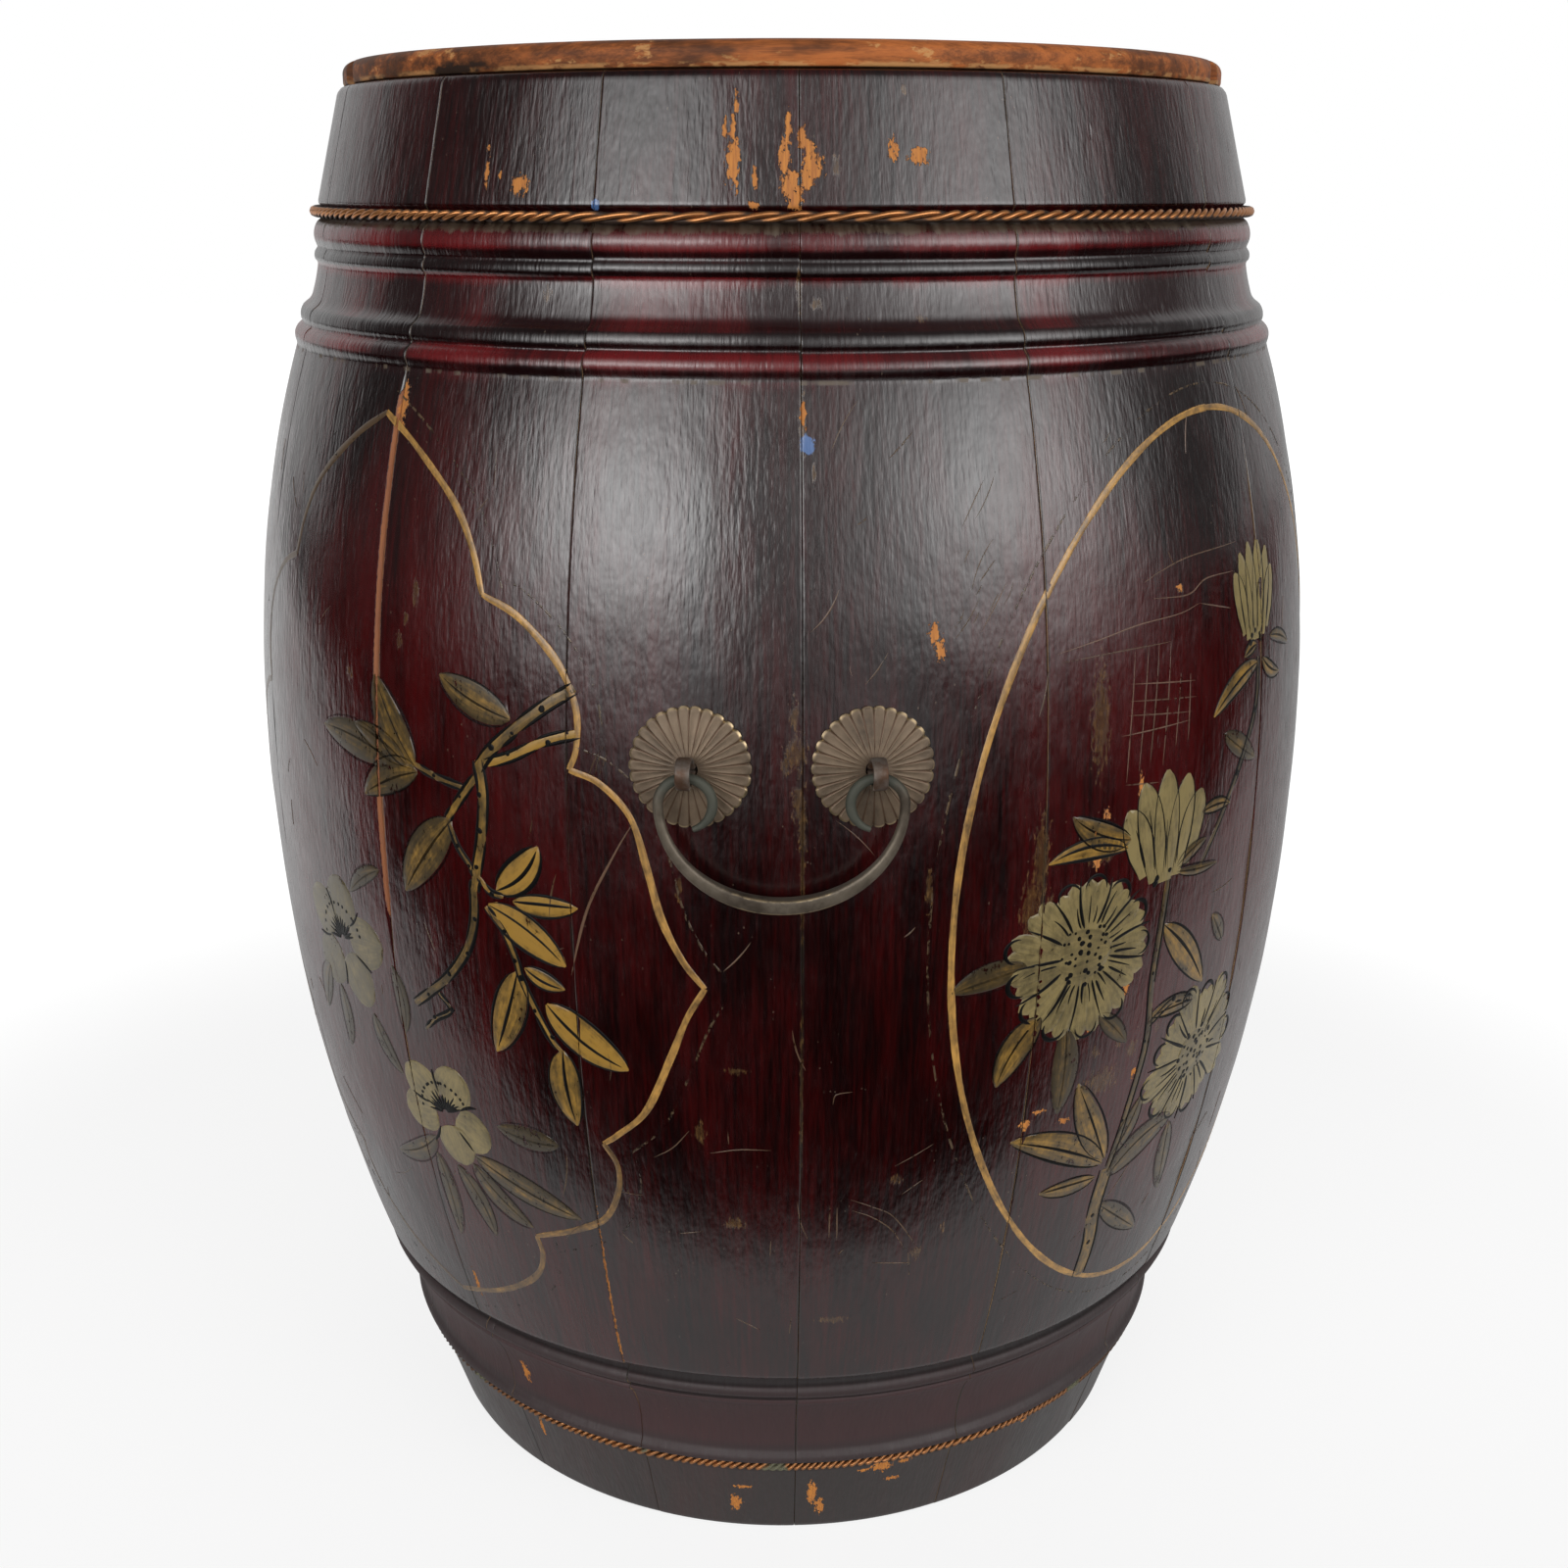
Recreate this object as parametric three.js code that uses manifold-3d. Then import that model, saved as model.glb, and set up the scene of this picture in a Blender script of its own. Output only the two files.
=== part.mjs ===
// Lacquered rice barrel.
// Hewn staves, pinned edge to edge with bamboo and bound by two wire hoops, stand round a floor that is
// let into a groove. A boarded lid lifts off, and a bail handle hangs in split pins on the front and back.
// Millimetres, +Z up. The origin is on the ground, on the barrel's axis, and the front faces -Y.

import * as THREE from "three";
import { mergeVertices } from "three/addons/utils/BufferGeometryUtils.js";
import Module from "manifold-3d";

const wasm = await Module();
wasm.setup();

// Gap that every piece keeps to its neighbour.
const CLEARANCE = 0.3;

// Outside radii of the staves, from the ground up.
const FOOT_RADIUS = 161.8;
const FOOT_TOP_RADIUS = 173.4;
const BELLY_FOOT_RADIUS = 192;
const BELLY_RADIUS = 225;
const BELLY_TOP_RADIUS = 200.8;
const NECK_RADIUS = 189.4;
const RIM_RADIUS = 177.5;

// Heights of the mouldings, stacked from the ground up. A hoop's seat lies between foot and lip, and
// between neck bead and collar.
const FOOT_HEIGHT = 39.4;
const LIP_HEIGHT = 5;
const BAND_HEIGHT = 31.6;
const FOOT_BEAD_HEIGHT = 10;
const GROOVE_HEIGHT = 2.4;
const BELLY_LOWER_HEIGHT = 223.9;
const BELLY_UPPER_HEIGHT = 160.5;
const SHOULDER_BEAD_HEIGHT = 8.6;
const COVE_FILLET_HEIGHT = 5.8;
const COVE_HEIGHT = 17.6;
const NECK_FILLET_HEIGHT = 4;
const NECK_BEAD_HEIGHT = 11.4;
const COLLAR_HEIGHT = 42.6;

// How far the mouldings stand out from, or are sunk into, the line of the staves.
const LIP_PROJECTION = 4.4;
const LIP_ROUND = 0.8;
const BAND_HOLLOW = 1.2;
const BAND_SET_BACK = 7.4;
const FOOT_BEAD_SET_BACK = 3.4;
const FOOT_BEAD_ROUND = 2.2;
const GROOVE_DEPTH = 2.8;
const SHOULDER_BEAD_ROUND = 2.2;
const COVE_SET_BACK = 4;
const COVE_HOLLOW = 1.5;
const FILLET_PROJECTION = 1;
const NECK_BEAD_ROUND = 2.2;
const COLLAR_SET_BACK = 1.4;
const HOOP_SEAT_DEPTH = 1.1;
const QUIRK = 0.9;
const EDGE_EASE = 1.6;

// The belly falls away from its widest ring as this power of the height.
const BELLY_FULLNESS = 2.2;
const BELLY_STEPS = 4;
const INSIDE_STEPS = 2;
const BEAD_STEPS = 3;
const HOLLOW_STEPS = 2;

// Staves. Their widths follow the seams, from the seam that stands furthest left of the front handle.
const STAVE_THICKNESS = 15;
const STAVE_SHARES = [21.5, 20.8, 22.2, 30.5, 22, 20.5, 23, 21.5, 19, 20.5, 21.5, 24, 22.5, 21, 24.5, 25];
const FIRST_SEAM_DEGREES = -40.5;
const FACET_DEGREES = 8.5;
const STAVE_PIN_WIDTH = 5.4;
const STAVE_PIN_LENGTH = 44;

// Wire hoops.
const HOOP_WIRE = 4.6;
const HOOP_FACETS = 60;
const HOOP_SIDES = 6;

// Floor.
const FLOOR_HEIGHT = 23;
const FLOOR_THICKNESS = 14;
const CROZE_DEPTH = 5;
const FLOOR_BOARDS = ["left", "middle", "right"];
const FLOOR_FACETS = 48;

// Lid.
const LID_THICKNESS = 9;
const LID_INSET = 2.8;
const LID_ROUND = 3.6;
const LID_FACETS = 48;
const LID_BOARDS = ["front", "middle", "rear"];
const BATTEN_SPACING = 170;
const BATTEN_WIDTH = 30;
const BATTEN_THICKNESS = 12;
const BATTEN_PLAY = 2;
const NAIL_WIDTH = 3.6;
const NAIL_GRIP = 5;
const NAIL_EDGE = 20;

// Handles.
const HANDLE_HEIGHT = 357;
const HANDLE_PIN_SPACING = 61;
const ROSETTE_RADIUS = 20.8;
const ROSETTE_THICKNESS = 1;
const ROSETTE_DOME = 1.6;
const ROSETTE_PETALS = 30;
const PETAL_SCALLOP = 1.5;
const PETAL_FLUTE = 0.5;
const STRIP_WIDTH = 5;
const STRIP_THICKNESS = 1.3;
const STRIP_PARTING = 0.8;
const EYE_RADIUS = 4.2;
const EYE_STEPS = 14;
const CLINCH_LENGTH = 15;
const CLINCH_GAP = 0.8;
const BAIL_END_RADIUS = 1.8;
const BAIL_MIDDLE_HEIGHT = 2.7;
const BAIL_MIDDLE_DEPTH = 2.5;
const BAIL_TAPER = 4;
const BAIL_DROP = 45;
const BAIL_PLAY = 0.9;
const CURL_RADIUS = 9;
const CURL_DEGREES = 255;
const CURL_STEPS = 10;
const BOW_STEPS = 18;
const BAIL_SIDES = 8;

const lacquer = { color: 0x2c0f0e, roughness: 0.35, metalness: 0 };
const bareWood = { color: 0x8a5328, roughness: 0.7, metalness: 0 };
const bamboo = { color: 0xb08a4e, roughness: 0.7, metalness: 0 };
const copper = { color: 0x8a5a38, roughness: 0.4, metalness: 1 };
const bronze = { color: 0x6b5138, roughness: 0.5, metalness: 1 };
const iron = { color: 0x4f4840, roughness: 0.5, metalness: 1 };

const barrel = new THREE.Group();

// Two-digit label of the piece at an index, counted from one.
const label = (i) => String(i + 1).padStart(2, "0");

function addPiece(parent, name, geometry, finish) {
  const mesh = new THREE.Mesh(geometry, new THREE.MeshStandardMaterial(finish));
  mesh.name = name;
  parent.add(mesh);
  return mesh;
}

// Solids. A geometry becomes a solid once its shared corners are one and its empty triangles are gone.
function toSolid(geometry) {
  const bare = new THREE.BufferGeometry();
  bare.setAttribute("position", geometry.getAttribute("position"));
  bare.setIndex(geometry.index);
  const merged = mergeVertices(bare);
  const corners = merged.index.array;
  const triangles = [];
  for (let i = 0; i < corners.length; i += 3) {
    const [a, b, c] = corners.slice(i, i + 3);
    if (a !== b && b !== c && c !== a) triangles.push(a, b, c);
  }
  const vertProperties = new Float32Array(merged.getAttribute("position").array);
  const triVerts = new Uint32Array(triangles);
  return new wasm.Manifold(new wasm.Mesh({ numProp: 3, vertProperties, triVerts }));
}

function toGeometry(solid) {
  const mesh = solid.getMesh();
  const geometry = new THREE.BufferGeometry();
  geometry.setAttribute("position", new THREE.BufferAttribute(mesh.vertProperties, 3));
  geometry.setIndex(new THREE.BufferAttribute(mesh.triVerts, 1));
  return geometry;
}

function joined(solids) {
  return solids.reduce((whole, solid) => whole.add(solid));
}

// An upright box given by its corners.
function block(low, high) {
  const size = high.map((value, axis) => value - low[axis]);
  const centre = high.map((value, axis) => (value + low[axis]) / 2);
  return new THREE.BoxGeometry(...size).translate(...centre);
}

// An upright disc or round block, its middle at the origin.
function roundBlock(radius, height, sides) {
  return new THREE.CylinderGeometry(radius, radius, height, sides).rotateX(Math.PI / 2);
}

// Stave outline: points are (radius, height).
const point = (radius, height) => new THREE.Vector2(radius, height);

// A shallow arc from a to b. Its middle stands off the chord by rise, outwards where rise is positive.
function bow(a, b, rise, steps) {
  const side = point(b.y - a.y, a.x - b.x).normalize();
  return Array.from({ length: steps + 1 }, (_, i) => {
    const t = i / steps;
    return a.clone().lerp(b, t).addScaledVector(side, 4 * rise * t * (1 - t));
  });
}

const seatHeight = HOOP_WIRE + 2 * CLEARANCE;
const lowerSeatZ = FOOT_HEIGHT;
const lipZ = lowerSeatZ + seatHeight;
const bandZ = lipZ + LIP_HEIGHT;
const footBeadZ = bandZ + BAND_HEIGHT;
const lowerGrooveZ = footBeadZ + FOOT_BEAD_HEIGHT;
const bellyFootZ = lowerGrooveZ + GROOVE_HEIGHT;
const bellyZ = bellyFootZ + BELLY_LOWER_HEIGHT;
const bellyTopZ = bellyZ + BELLY_UPPER_HEIGHT;
const shoulderZ = bellyTopZ + GROOVE_HEIGHT;
const coveFilletZ = shoulderZ + SHOULDER_BEAD_HEIGHT;
const coveZ = coveFilletZ + COVE_FILLET_HEIGHT;
const neckFilletZ = coveZ + COVE_HEIGHT;
const neckBeadZ = neckFilletZ + NECK_FILLET_HEIGHT;
const upperSeatZ = neckBeadZ + NECK_BEAD_HEIGHT;
const collarZ = upperSeatZ + seatHeight;
const rimZ = collarZ + COLLAR_HEIGHT;

const lowerSeatRadius = FOOT_TOP_RADIUS - HOOP_SEAT_DEPTH;
const collarRadius = NECK_RADIUS - COLLAR_SET_BACK;
const upperSeatRadius = collarRadius - HOOP_SEAT_DEPTH;
const mouthRadius = RIM_RADIUS - STAVE_THICKNESS;

// Radius of a curve that swells to `widest` at the belly and falls to `foot` and `top` at its ends.
function swell(z, foot, widest, top) {
  const below = z < bellyZ;
  const fall = below ? widest - foot : widest - top;
  const reach = below ? BELLY_LOWER_HEIGHT : BELLY_UPPER_HEIGHT;
  return widest - fall * (Math.abs(z - bellyZ) / reach) ** BELLY_FULLNESS;
}

const bellyRadius = (z) => swell(z, BELLY_FOOT_RADIUS, BELLY_RADIUS, BELLY_TOP_RADIUS);

// Heights that divide the belly into equal steps below and above its widest ring.
function bellyHeights(steps) {
  const step = (i, from, height) => from + (height * i) / steps;
  const lower = Array.from({ length: steps }, (_, i) => step(i, bellyFootZ, BELLY_LOWER_HEIGHT));
  const upper = Array.from({ length: steps + 1 }, (_, i) => step(i, bellyZ, BELLY_UPPER_HEIGHT));
  return [...lower, ...upper];
}

function outsideOutline() {
  const lip = point(FOOT_TOP_RADIUS + LIP_PROJECTION, lipZ + EDGE_EASE);
  const bandFoot = point(lip.x - LIP_ROUND, bandZ);
  const bandTop = point(BELLY_FOOT_RADIUS - BAND_SET_BACK, footBeadZ);
  const footBead = point(BELLY_FOOT_RADIUS - FOOT_BEAD_SET_BACK, footBeadZ + QUIRK);
  const lowerGroove = point(BELLY_FOOT_RADIUS - GROOVE_DEPTH, lowerGrooveZ);
  const upperGroove = point(BELLY_TOP_RADIUS - GROOVE_DEPTH, bellyTopZ + GROOVE_HEIGHT / 2);
  const shoulder = point(BELLY_TOP_RADIUS - QUIRK, shoulderZ);
  const coveRadius = BELLY_TOP_RADIUS - COVE_SET_BACK;
  const coveFoot = point(coveRadius - FILLET_PROJECTION, coveZ + QUIRK);
  const coveTop = point(NECK_RADIUS, neckFilletZ);
  const neckBead = point(NECK_RADIUS - QUIRK, neckBeadZ);
  return [
    point(FOOT_RADIUS - EDGE_EASE, 0),
    point(FOOT_RADIUS, EDGE_EASE),
    point(FOOT_TOP_RADIUS, lowerSeatZ - CLEARANCE),
    point(lowerSeatRadius, lowerSeatZ),
    point(lowerSeatRadius, lipZ),
    lip,
    ...bow(bandFoot, bandTop, -BAND_HOLLOW, HOLLOW_STEPS),
    ...bow(footBead, lowerGroove, FOOT_BEAD_ROUND, BEAD_STEPS),
    ...bellyHeights(BELLY_STEPS).map((z) => point(bellyRadius(z), z)),
    upperGroove,
    ...bow(shoulder, point(coveRadius, coveFilletZ), SHOULDER_BEAD_ROUND, BEAD_STEPS),
    point(coveRadius + FILLET_PROJECTION, coveFilletZ + QUIRK),
    point(coveRadius, coveZ),
    ...bow(coveFoot, coveTop, -COVE_HOLLOW, HOLLOW_STEPS),
    point(NECK_RADIUS + FILLET_PROJECTION, neckFilletZ + QUIRK),
    point(NECK_RADIUS + FILLET_PROJECTION, neckBeadZ - QUIRK),
    ...bow(neckBead, point(collarRadius, upperSeatZ - QUIRK), NECK_BEAD_ROUND, BEAD_STEPS),
    point(upperSeatRadius, upperSeatZ),
    point(upperSeatRadius, collarZ),
    point(collarRadius, collarZ + CLEARANCE),
    point(RIM_RADIUS, rimZ - EDGE_EASE),
    point(RIM_RADIUS - EDGE_EASE, rimZ),
  ];
}

// The inside keeps the staves' thickness under each ring, and the floor's groove is cut into it.
function insideRadius(z) {
  const keys = [
    point(FOOT_RADIUS, 0),
    point(lowerSeatRadius, lowerSeatZ),
    point(BELLY_FOOT_RADIUS - GROOVE_DEPTH, bellyFootZ),
    point(BELLY_TOP_RADIUS - GROOVE_DEPTH, bellyTopZ),
    point(upperSeatRadius, upperSeatZ),
    point(RIM_RADIUS, rimZ),
  ];
  const [, , foot, top] = keys;
  if (z > foot.y && z < top.y) return swell(z, foot.x, BELLY_RADIUS, top.x) - STAVE_THICKNESS;
  const next = Math.max(1, keys.findIndex((key) => key.y >= z));
  const [a, b] = [keys[next - 1], keys[next]];
  return a.x + ((b.x - a.x) * (z - a.y)) / (b.y - a.y) - STAVE_THICKNESS;
}

const floorTopZ = FLOOR_HEIGHT + FLOOR_THICKNESS;
const crozeRadius = insideRadius(FLOOR_HEIGHT) + CROZE_DEPTH;
const facetFlat = Math.cos(THREE.MathUtils.degToRad(FACET_DEGREES / 2));

function insideOutline() {
  const crozeTop = floorTopZ + CLEARANCE;
  const crozeFoot = FLOOR_HEIGHT - CLEARANCE;
  const heights = [upperSeatZ, ...bellyHeights(INSIDE_STEPS).reverse()];
  return [
    point(mouthRadius + EDGE_EASE, rimZ),
    point(insideRadius(rimZ - EDGE_EASE), rimZ - EDGE_EASE),
    ...heights.map((z) => point(insideRadius(z), z)),
    point(insideRadius(crozeTop), crozeTop),
    point(crozeRadius, crozeTop),
    point(crozeRadius, crozeFoot),
    point(insideRadius(crozeFoot), crozeFoot),
    point(insideRadius(0), 0),
  ];
}

const staveInside = insideOutline();
const staveOutline = [...outsideOutline(), ...staveInside];

// Radius of the inside as it is cut, flat between the outline's points.
function cutInsideRadius(z) {
  const next = staveInside.findIndex((p) => p.y <= z);
  const [above, below] = [staveInside[next - 1], staveInside[next]];
  return THREE.MathUtils.mapLinear(z, below.y, above.y, below.x, above.x) * facetFlat;
}

// Where the staves meet, in degrees round from the front.
const shareTotal = STAVE_SHARES.reduce((sum, share) => sum + share);
const staveWidths = STAVE_SHARES.map((share) => (360 * share) / shareTotal);
const seams = staveWidths.reduce((edges, width) => [...edges, edges.at(-1) + width], [FIRST_SEAM_DEGREES]);

// One stave is its outline turned through its share of the circle and closed by its two edges.
function staveBlank(startDegrees, widthDegrees) {
  const steps = Math.ceil(widthDegrees / FACET_DEGREES);
  const gap = CLEARANCE / BELLY_RADIUS;
  const start = THREE.MathUtils.degToRad(startDegrees) + gap / 2;
  const turn = THREE.MathUtils.degToRad(widthDegrees) - gap;
  const wall = new THREE.LatheGeometry([...staveOutline, staveOutline[0]], steps, start, turn);
  const lastEdge = steps * (staveOutline.length + 1);
  const index = Array.from(wall.index.array);
  for (const [a, b, c] of THREE.ShapeUtils.triangulateShape(staveOutline, [])) {
    index.push(a, b, c, lastEdge + a, lastEdge + c, lastEdge + b);
  }
  wall.setIndex(index);
  return wall.rotateX(Math.PI / 2);
}

// Split-bamboo pins lie across the seams at the widest ring, in the middle of the wall. Their holes are
// the same block, larger all round by the clearance.
function stavePin(seamDegrees, spare) {
  const width = STAVE_PIN_WIDTH + 2 * spare;
  return new THREE.BoxGeometry(STAVE_PIN_LENGTH + 2 * spare, width, width)
    .translate(0, -(BELLY_RADIUS - STAVE_THICKNESS / 2), bellyZ)
    .rotateZ(THREE.MathUtils.degToRad(seamDegrees));
}

// A split pin's frame: it stands square to the wall at the handle's height, turned round to its own place.
const wallRadius = bellyRadius(HANDLE_HEIGHT);
const wallSlope = (bellyRadius(HANDLE_HEIGHT - 1) - bellyRadius(HANDLE_HEIGHT + 1)) / 2;
const wallLean = Math.atan(wallSlope);
const wallDepth = wallRadius - cutInsideRadius(HANDLE_HEIGHT);
const handlePinAngle = Math.asin(HANDLE_PIN_SPACING / 2 / wallRadius);

function placeOnWall(geometry, angle) {
  return geometry
    .rotateX(-wallLean)
    .translate(0, -wallRadius, HANDLE_HEIGHT)
    .rotateZ(angle);
}

const legHeight = STRIP_PARTING / 2 + STRIP_THICKNESS;

function splitPinSlot(angle) {
  const width = STRIP_WIDTH / 2 + CLEARANCE;
  const height = legHeight + CLEARANCE;
  const reach = 2 * STAVE_THICKNESS;
  return placeOnWall(block([-width, -reach, -height], [width, reach, height]), angle);
}

const handleTurns = { front: 0, rear: Math.PI };
const handleSides = { left: -1, right: 1 };
const slotAngles = Object.values(handleTurns).flatMap((turn) =>
  Object.values(handleSides).map((side) => turn + side * handlePinAngle),
);

function addStaves() {
  const pinHoles = seams.slice(1).map((seam) => toSolid(stavePin(seam, CLEARANCE)));
  const slots = slotAngles.map((angle) => toSolid(splitPinSlot(angle)));
  const holes = joined([...pinHoles, ...slots]);
  staveWidths.forEach((width, i) => {
    const blank = toSolid(staveBlank(seams[i], width));
    addPiece(barrel, `stave_${label(i)}`, toGeometry(blank.subtract(holes)), lacquer);
    addPiece(barrel, `stave_pin_${label(i)}`, stavePin(seams[i + 1], 0), bamboo);
  });
}

// A hoop sits in its seat, its flats clear of the staves' corners.
function addHoop(name, seatRadius, seatZ) {
  const inner = (seatRadius + CLEARANCE) / Math.cos(Math.PI / HOOP_FACETS);
  const ring = new THREE.TorusGeometry(inner + HOOP_WIRE / 2, HOOP_WIRE / 2, HOOP_SIDES, HOOP_FACETS);
  addPiece(barrel, name, ring, copper).position.z = seatZ + seatHeight / 2;
}

// Splits a disc into equal boards side by side along an axis (0 is X, 1 is Y), with a gap at each seam.
function boardsOf(disc, radius, thickness, count, axis) {
  const pitch = (2 * radius) / count;
  return Array.from({ length: count }, (_, i) => {
    const low = [-2 * radius, -2 * radius, -thickness];
    const high = [2 * radius, 2 * radius, 2 * thickness];
    if (i > 0) low[axis] = -radius + i * pitch + CLEARANCE / 2;
    if (i < count - 1) high[axis] = -radius + (i + 1) * pitch - CLEARANCE / 2;
    return disc.intersect(toSolid(block(low, high)));
  });
}

function addFloor() {
  const radius = crozeRadius * facetFlat - CLEARANCE;
  const disc = roundBlock(radius, FLOOR_THICKNESS, FLOOR_FACETS).translate(0, 0, FLOOR_THICKNESS / 2);
  boardsOf(toSolid(disc), radius, FLOOR_THICKNESS, FLOOR_BOARDS.length, 0).forEach((board, i) => {
    addPiece(barrel, `floor_board_${FLOOR_BOARDS[i]}`, toGeometry(board), bareWood).position.z = FLOOR_HEIGHT;
  });
}

// Lid: boards across the barrel, battens under them that find the mouth, and a nail at each crossing.
function lidDisc(radius) {
  const roundFoot = point(radius, LID_THICKNESS - LID_ROUND);
  const roundTop = point(radius - LID_ROUND, LID_THICKNESS);
  const outline = [
    point(0, 0),
    point(radius - EDGE_EASE, 0),
    point(radius, EDGE_EASE),
    ...bow(roundFoot, roundTop, LID_ROUND * (1 - Math.SQRT1_2), BEAD_STEPS),
    point(0, LID_THICKNESS),
  ];
  return new THREE.LatheGeometry(outline, LID_FACETS).rotateX(Math.PI / 2);
}

const nailFoot = -CLEARANCE - BATTEN_THICKNESS;

// A square bamboo nail, flush with the batten's underside. Its hole is wider and deeper by the clearance.
function nail(x, y, spare) {
  const width = NAIL_WIDTH / 2 + spare;
  return block([x - width, y - width, nailFoot - spare], [x + width, y + width, NAIL_GRIP + spare]);
}

function addLid() {
  const lid = new THREE.Group();
  lid.position.z = rimZ + CLEARANCE;
  barrel.add(lid);

  const radius = RIM_RADIUS - LID_INSET;
  const battenRadius = mouthRadius - BATTEN_PLAY;
  const nailReach = (2 * radius) / LID_BOARDS.length - NAIL_EDGE;
  const battens = { left: -BATTEN_SPACING / 2, right: BATTEN_SPACING / 2 };
  const places = Object.values(battens).flatMap((x) => [-nailReach, 0, nailReach].map((y) => [x, y]));
  const holes = joined(places.map(([x, y]) => toSolid(nail(x, y, CLEARANCE))));

  boardsOf(toSolid(lidDisc(radius)), radius, LID_THICKNESS, LID_BOARDS.length, 1).forEach((board, i) => {
    addPiece(lid, `lid_board_${LID_BOARDS[i]}`, toGeometry(board.subtract(holes)), bareWood);
  });
  const mouth = toSolid(roundBlock(battenRadius, 4 * BATTEN_THICKNESS, LID_FACETS));
  for (const [side, x] of Object.entries(battens)) {
    const low = [x - BATTEN_WIDTH / 2, -radius, nailFoot];
    const high = [x + BATTEN_WIDTH / 2, radius, -CLEARANCE];
    const batten = toSolid(block(low, high)).intersect(mouth).subtract(holes);
    addPiece(lid, `lid_batten_${side}`, toGeometry(batten), bareWood);
  }
  places.forEach(([x, y], i) => {
    addPiece(lid, `lid_nail_${label(i)}`, nail(x, y, 0), bamboo);
  });
}

// Rosette: a thin domed plate, fluted into petals, bent to lie on the wall round its pin.
function rosette(angle) {
  const hub = Math.hypot(STRIP_WIDTH / 2, legHeight) + CLEARANCE;
  const middle = (hub + ROSETTE_RADIUS) / 2;
  const domeTop = ROSETTE_DOME + ROSETTE_THICKNESS;
  const section = [
    point(hub, ROSETTE_DOME),
    point(ROSETTE_RADIUS, 0),
    point(ROSETTE_RADIUS, ROSETTE_THICKNESS),
    point(middle, ROSETTE_THICKNESS + 0.75 * ROSETTE_DOME),
    point(hub, domeTop),
  ];
  const plate = new THREE.LatheGeometry([...section, section[0]], 2 * ROSETTE_PETALS);
  const corners = plate.getAttribute("position");
  for (let i = 0; i < corners.count; i += 1) {
    const radius = Math.hypot(corners.getX(i), corners.getZ(i));
    const turn = Math.atan2(corners.getX(i), corners.getZ(i));
    const crest = (1 + Math.cos(ROSETTE_PETALS * turn)) / 2;
    const share = Math.max(0, (radius - hub) / (ROSETTE_RADIUS - hub)) ** 2;
    const reach = radius - PETAL_SCALLOP * share * (1 - crest);
    const flute = corners.getY(i) > 0 ? PETAL_FLUTE * share * crest : 0;
    const z = HANDLE_HEIGHT - reach * Math.cos(turn);
    const out = bellyRadius(z) + CLEARANCE + corners.getY(i) + flute;
    const place = angle + (reach * Math.sin(turn)) / wallRadius;
    corners.setXYZ(i, out * Math.sin(place), -out * Math.cos(place), z);
  }
  return plate;
}

// Split pin: a strip folded into an eye. Its legs pass through the wall and lie clinched on the inside.
const eyeOuterRadius = EYE_RADIUS + STRIP_THICKNESS;
const eyeDistance = 2 * CLEARANCE + ROSETTE_DOME + ROSETTE_THICKNESS + eyeOuterRadius;

function splitPin(angle) {
  const part = STRIP_PARTING / 2;
  const innerTurn = Math.PI - Math.asin(part / EYE_RADIUS);
  const outerTurn = Math.PI - Math.asin(legHeight / eyeOuterRadius);
  const inside = -wallDepth - CLINCH_GAP;
  const back = inside - STRIP_THICKNESS;
  const round = (radius, turn) =>
    Array.from({ length: EYE_STEPS + 1 }, (_, i) => {
      const at = turn * (1 - (2 * i) / EYE_STEPS);
      return point(eyeDistance + radius * Math.cos(at), radius * Math.sin(at));
    });
  const outline = [
    point(back, part),
    point(back, CLINCH_LENGTH),
    point(inside, CLINCH_LENGTH),
    point(inside, legHeight),
    ...round(eyeOuterRadius, outerTurn),
    point(inside, -legHeight),
    point(inside, -CLINCH_LENGTH),
    point(back, -CLINCH_LENGTH),
    point(back, -part),
    ...round(EYE_RADIUS, innerTurn).reverse(),
  ];
  const across = { depth: STRIP_WIDTH, bevelEnabled: false };
  const strip = new THREE.ExtrudeGeometry(new THREE.Shape(outline), across);
  const outward = new THREE.Vector3(0, -1, 0);
  const up = new THREE.Vector3(0, 0, 1);
  const along = new THREE.Vector3(-1, 0, 0);
  strip.translate(0, 0, -STRIP_WIDTH / 2).applyMatrix4(new THREE.Matrix4().makeBasis(outward, up, along));
  return placeOnWall(strip, angle);
}

// The bail turns about a line through both eyes, just above the bottom of each.
const bailSag = EYE_RADIUS - BAIL_END_RADIUS - BAIL_PLAY;
const eyeRadius = wallRadius + eyeDistance * Math.cos(wallLean) - bailSag * Math.sin(wallLean);
const hingeX = eyeRadius * Math.sin(handlePinAngle);
const hingeY = -eyeRadius * Math.cos(handlePinAngle);
const hingeZ = HANDLE_HEIGHT + eyeDistance * Math.sin(wallLean) - bailSag * Math.cos(wallLean);

// Half of the bail's middle line, from the tip of one curl over its eye and down to the bottom of the bow.
function bailHalfLine() {
  const overhang = THREE.MathUtils.degToRad(CURL_DEGREES) - Math.PI;
  const curl = Array.from({ length: CURL_STEPS }, (_, i) => {
    const at = -overhang + ((Math.PI + overhang) * i) / CURL_STEPS;
    return point(-hingeX + CURL_RADIUS * Math.cos(at), CURL_RADIUS * (Math.sin(at) - 1));
  });
  const halfWidth = hingeX + CURL_RADIUS;
  const drop = BAIL_DROP - CURL_RADIUS;
  const arm = Array.from({ length: BOW_STEPS / 2 }, (_, i) => {
    const at = Math.PI + (Math.PI * i) / BOW_STEPS;
    return point(halfWidth * Math.cos(at), drop * Math.sin(at) - CURL_RADIUS);
  });
  return [...curl, ...arm];
}

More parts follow.
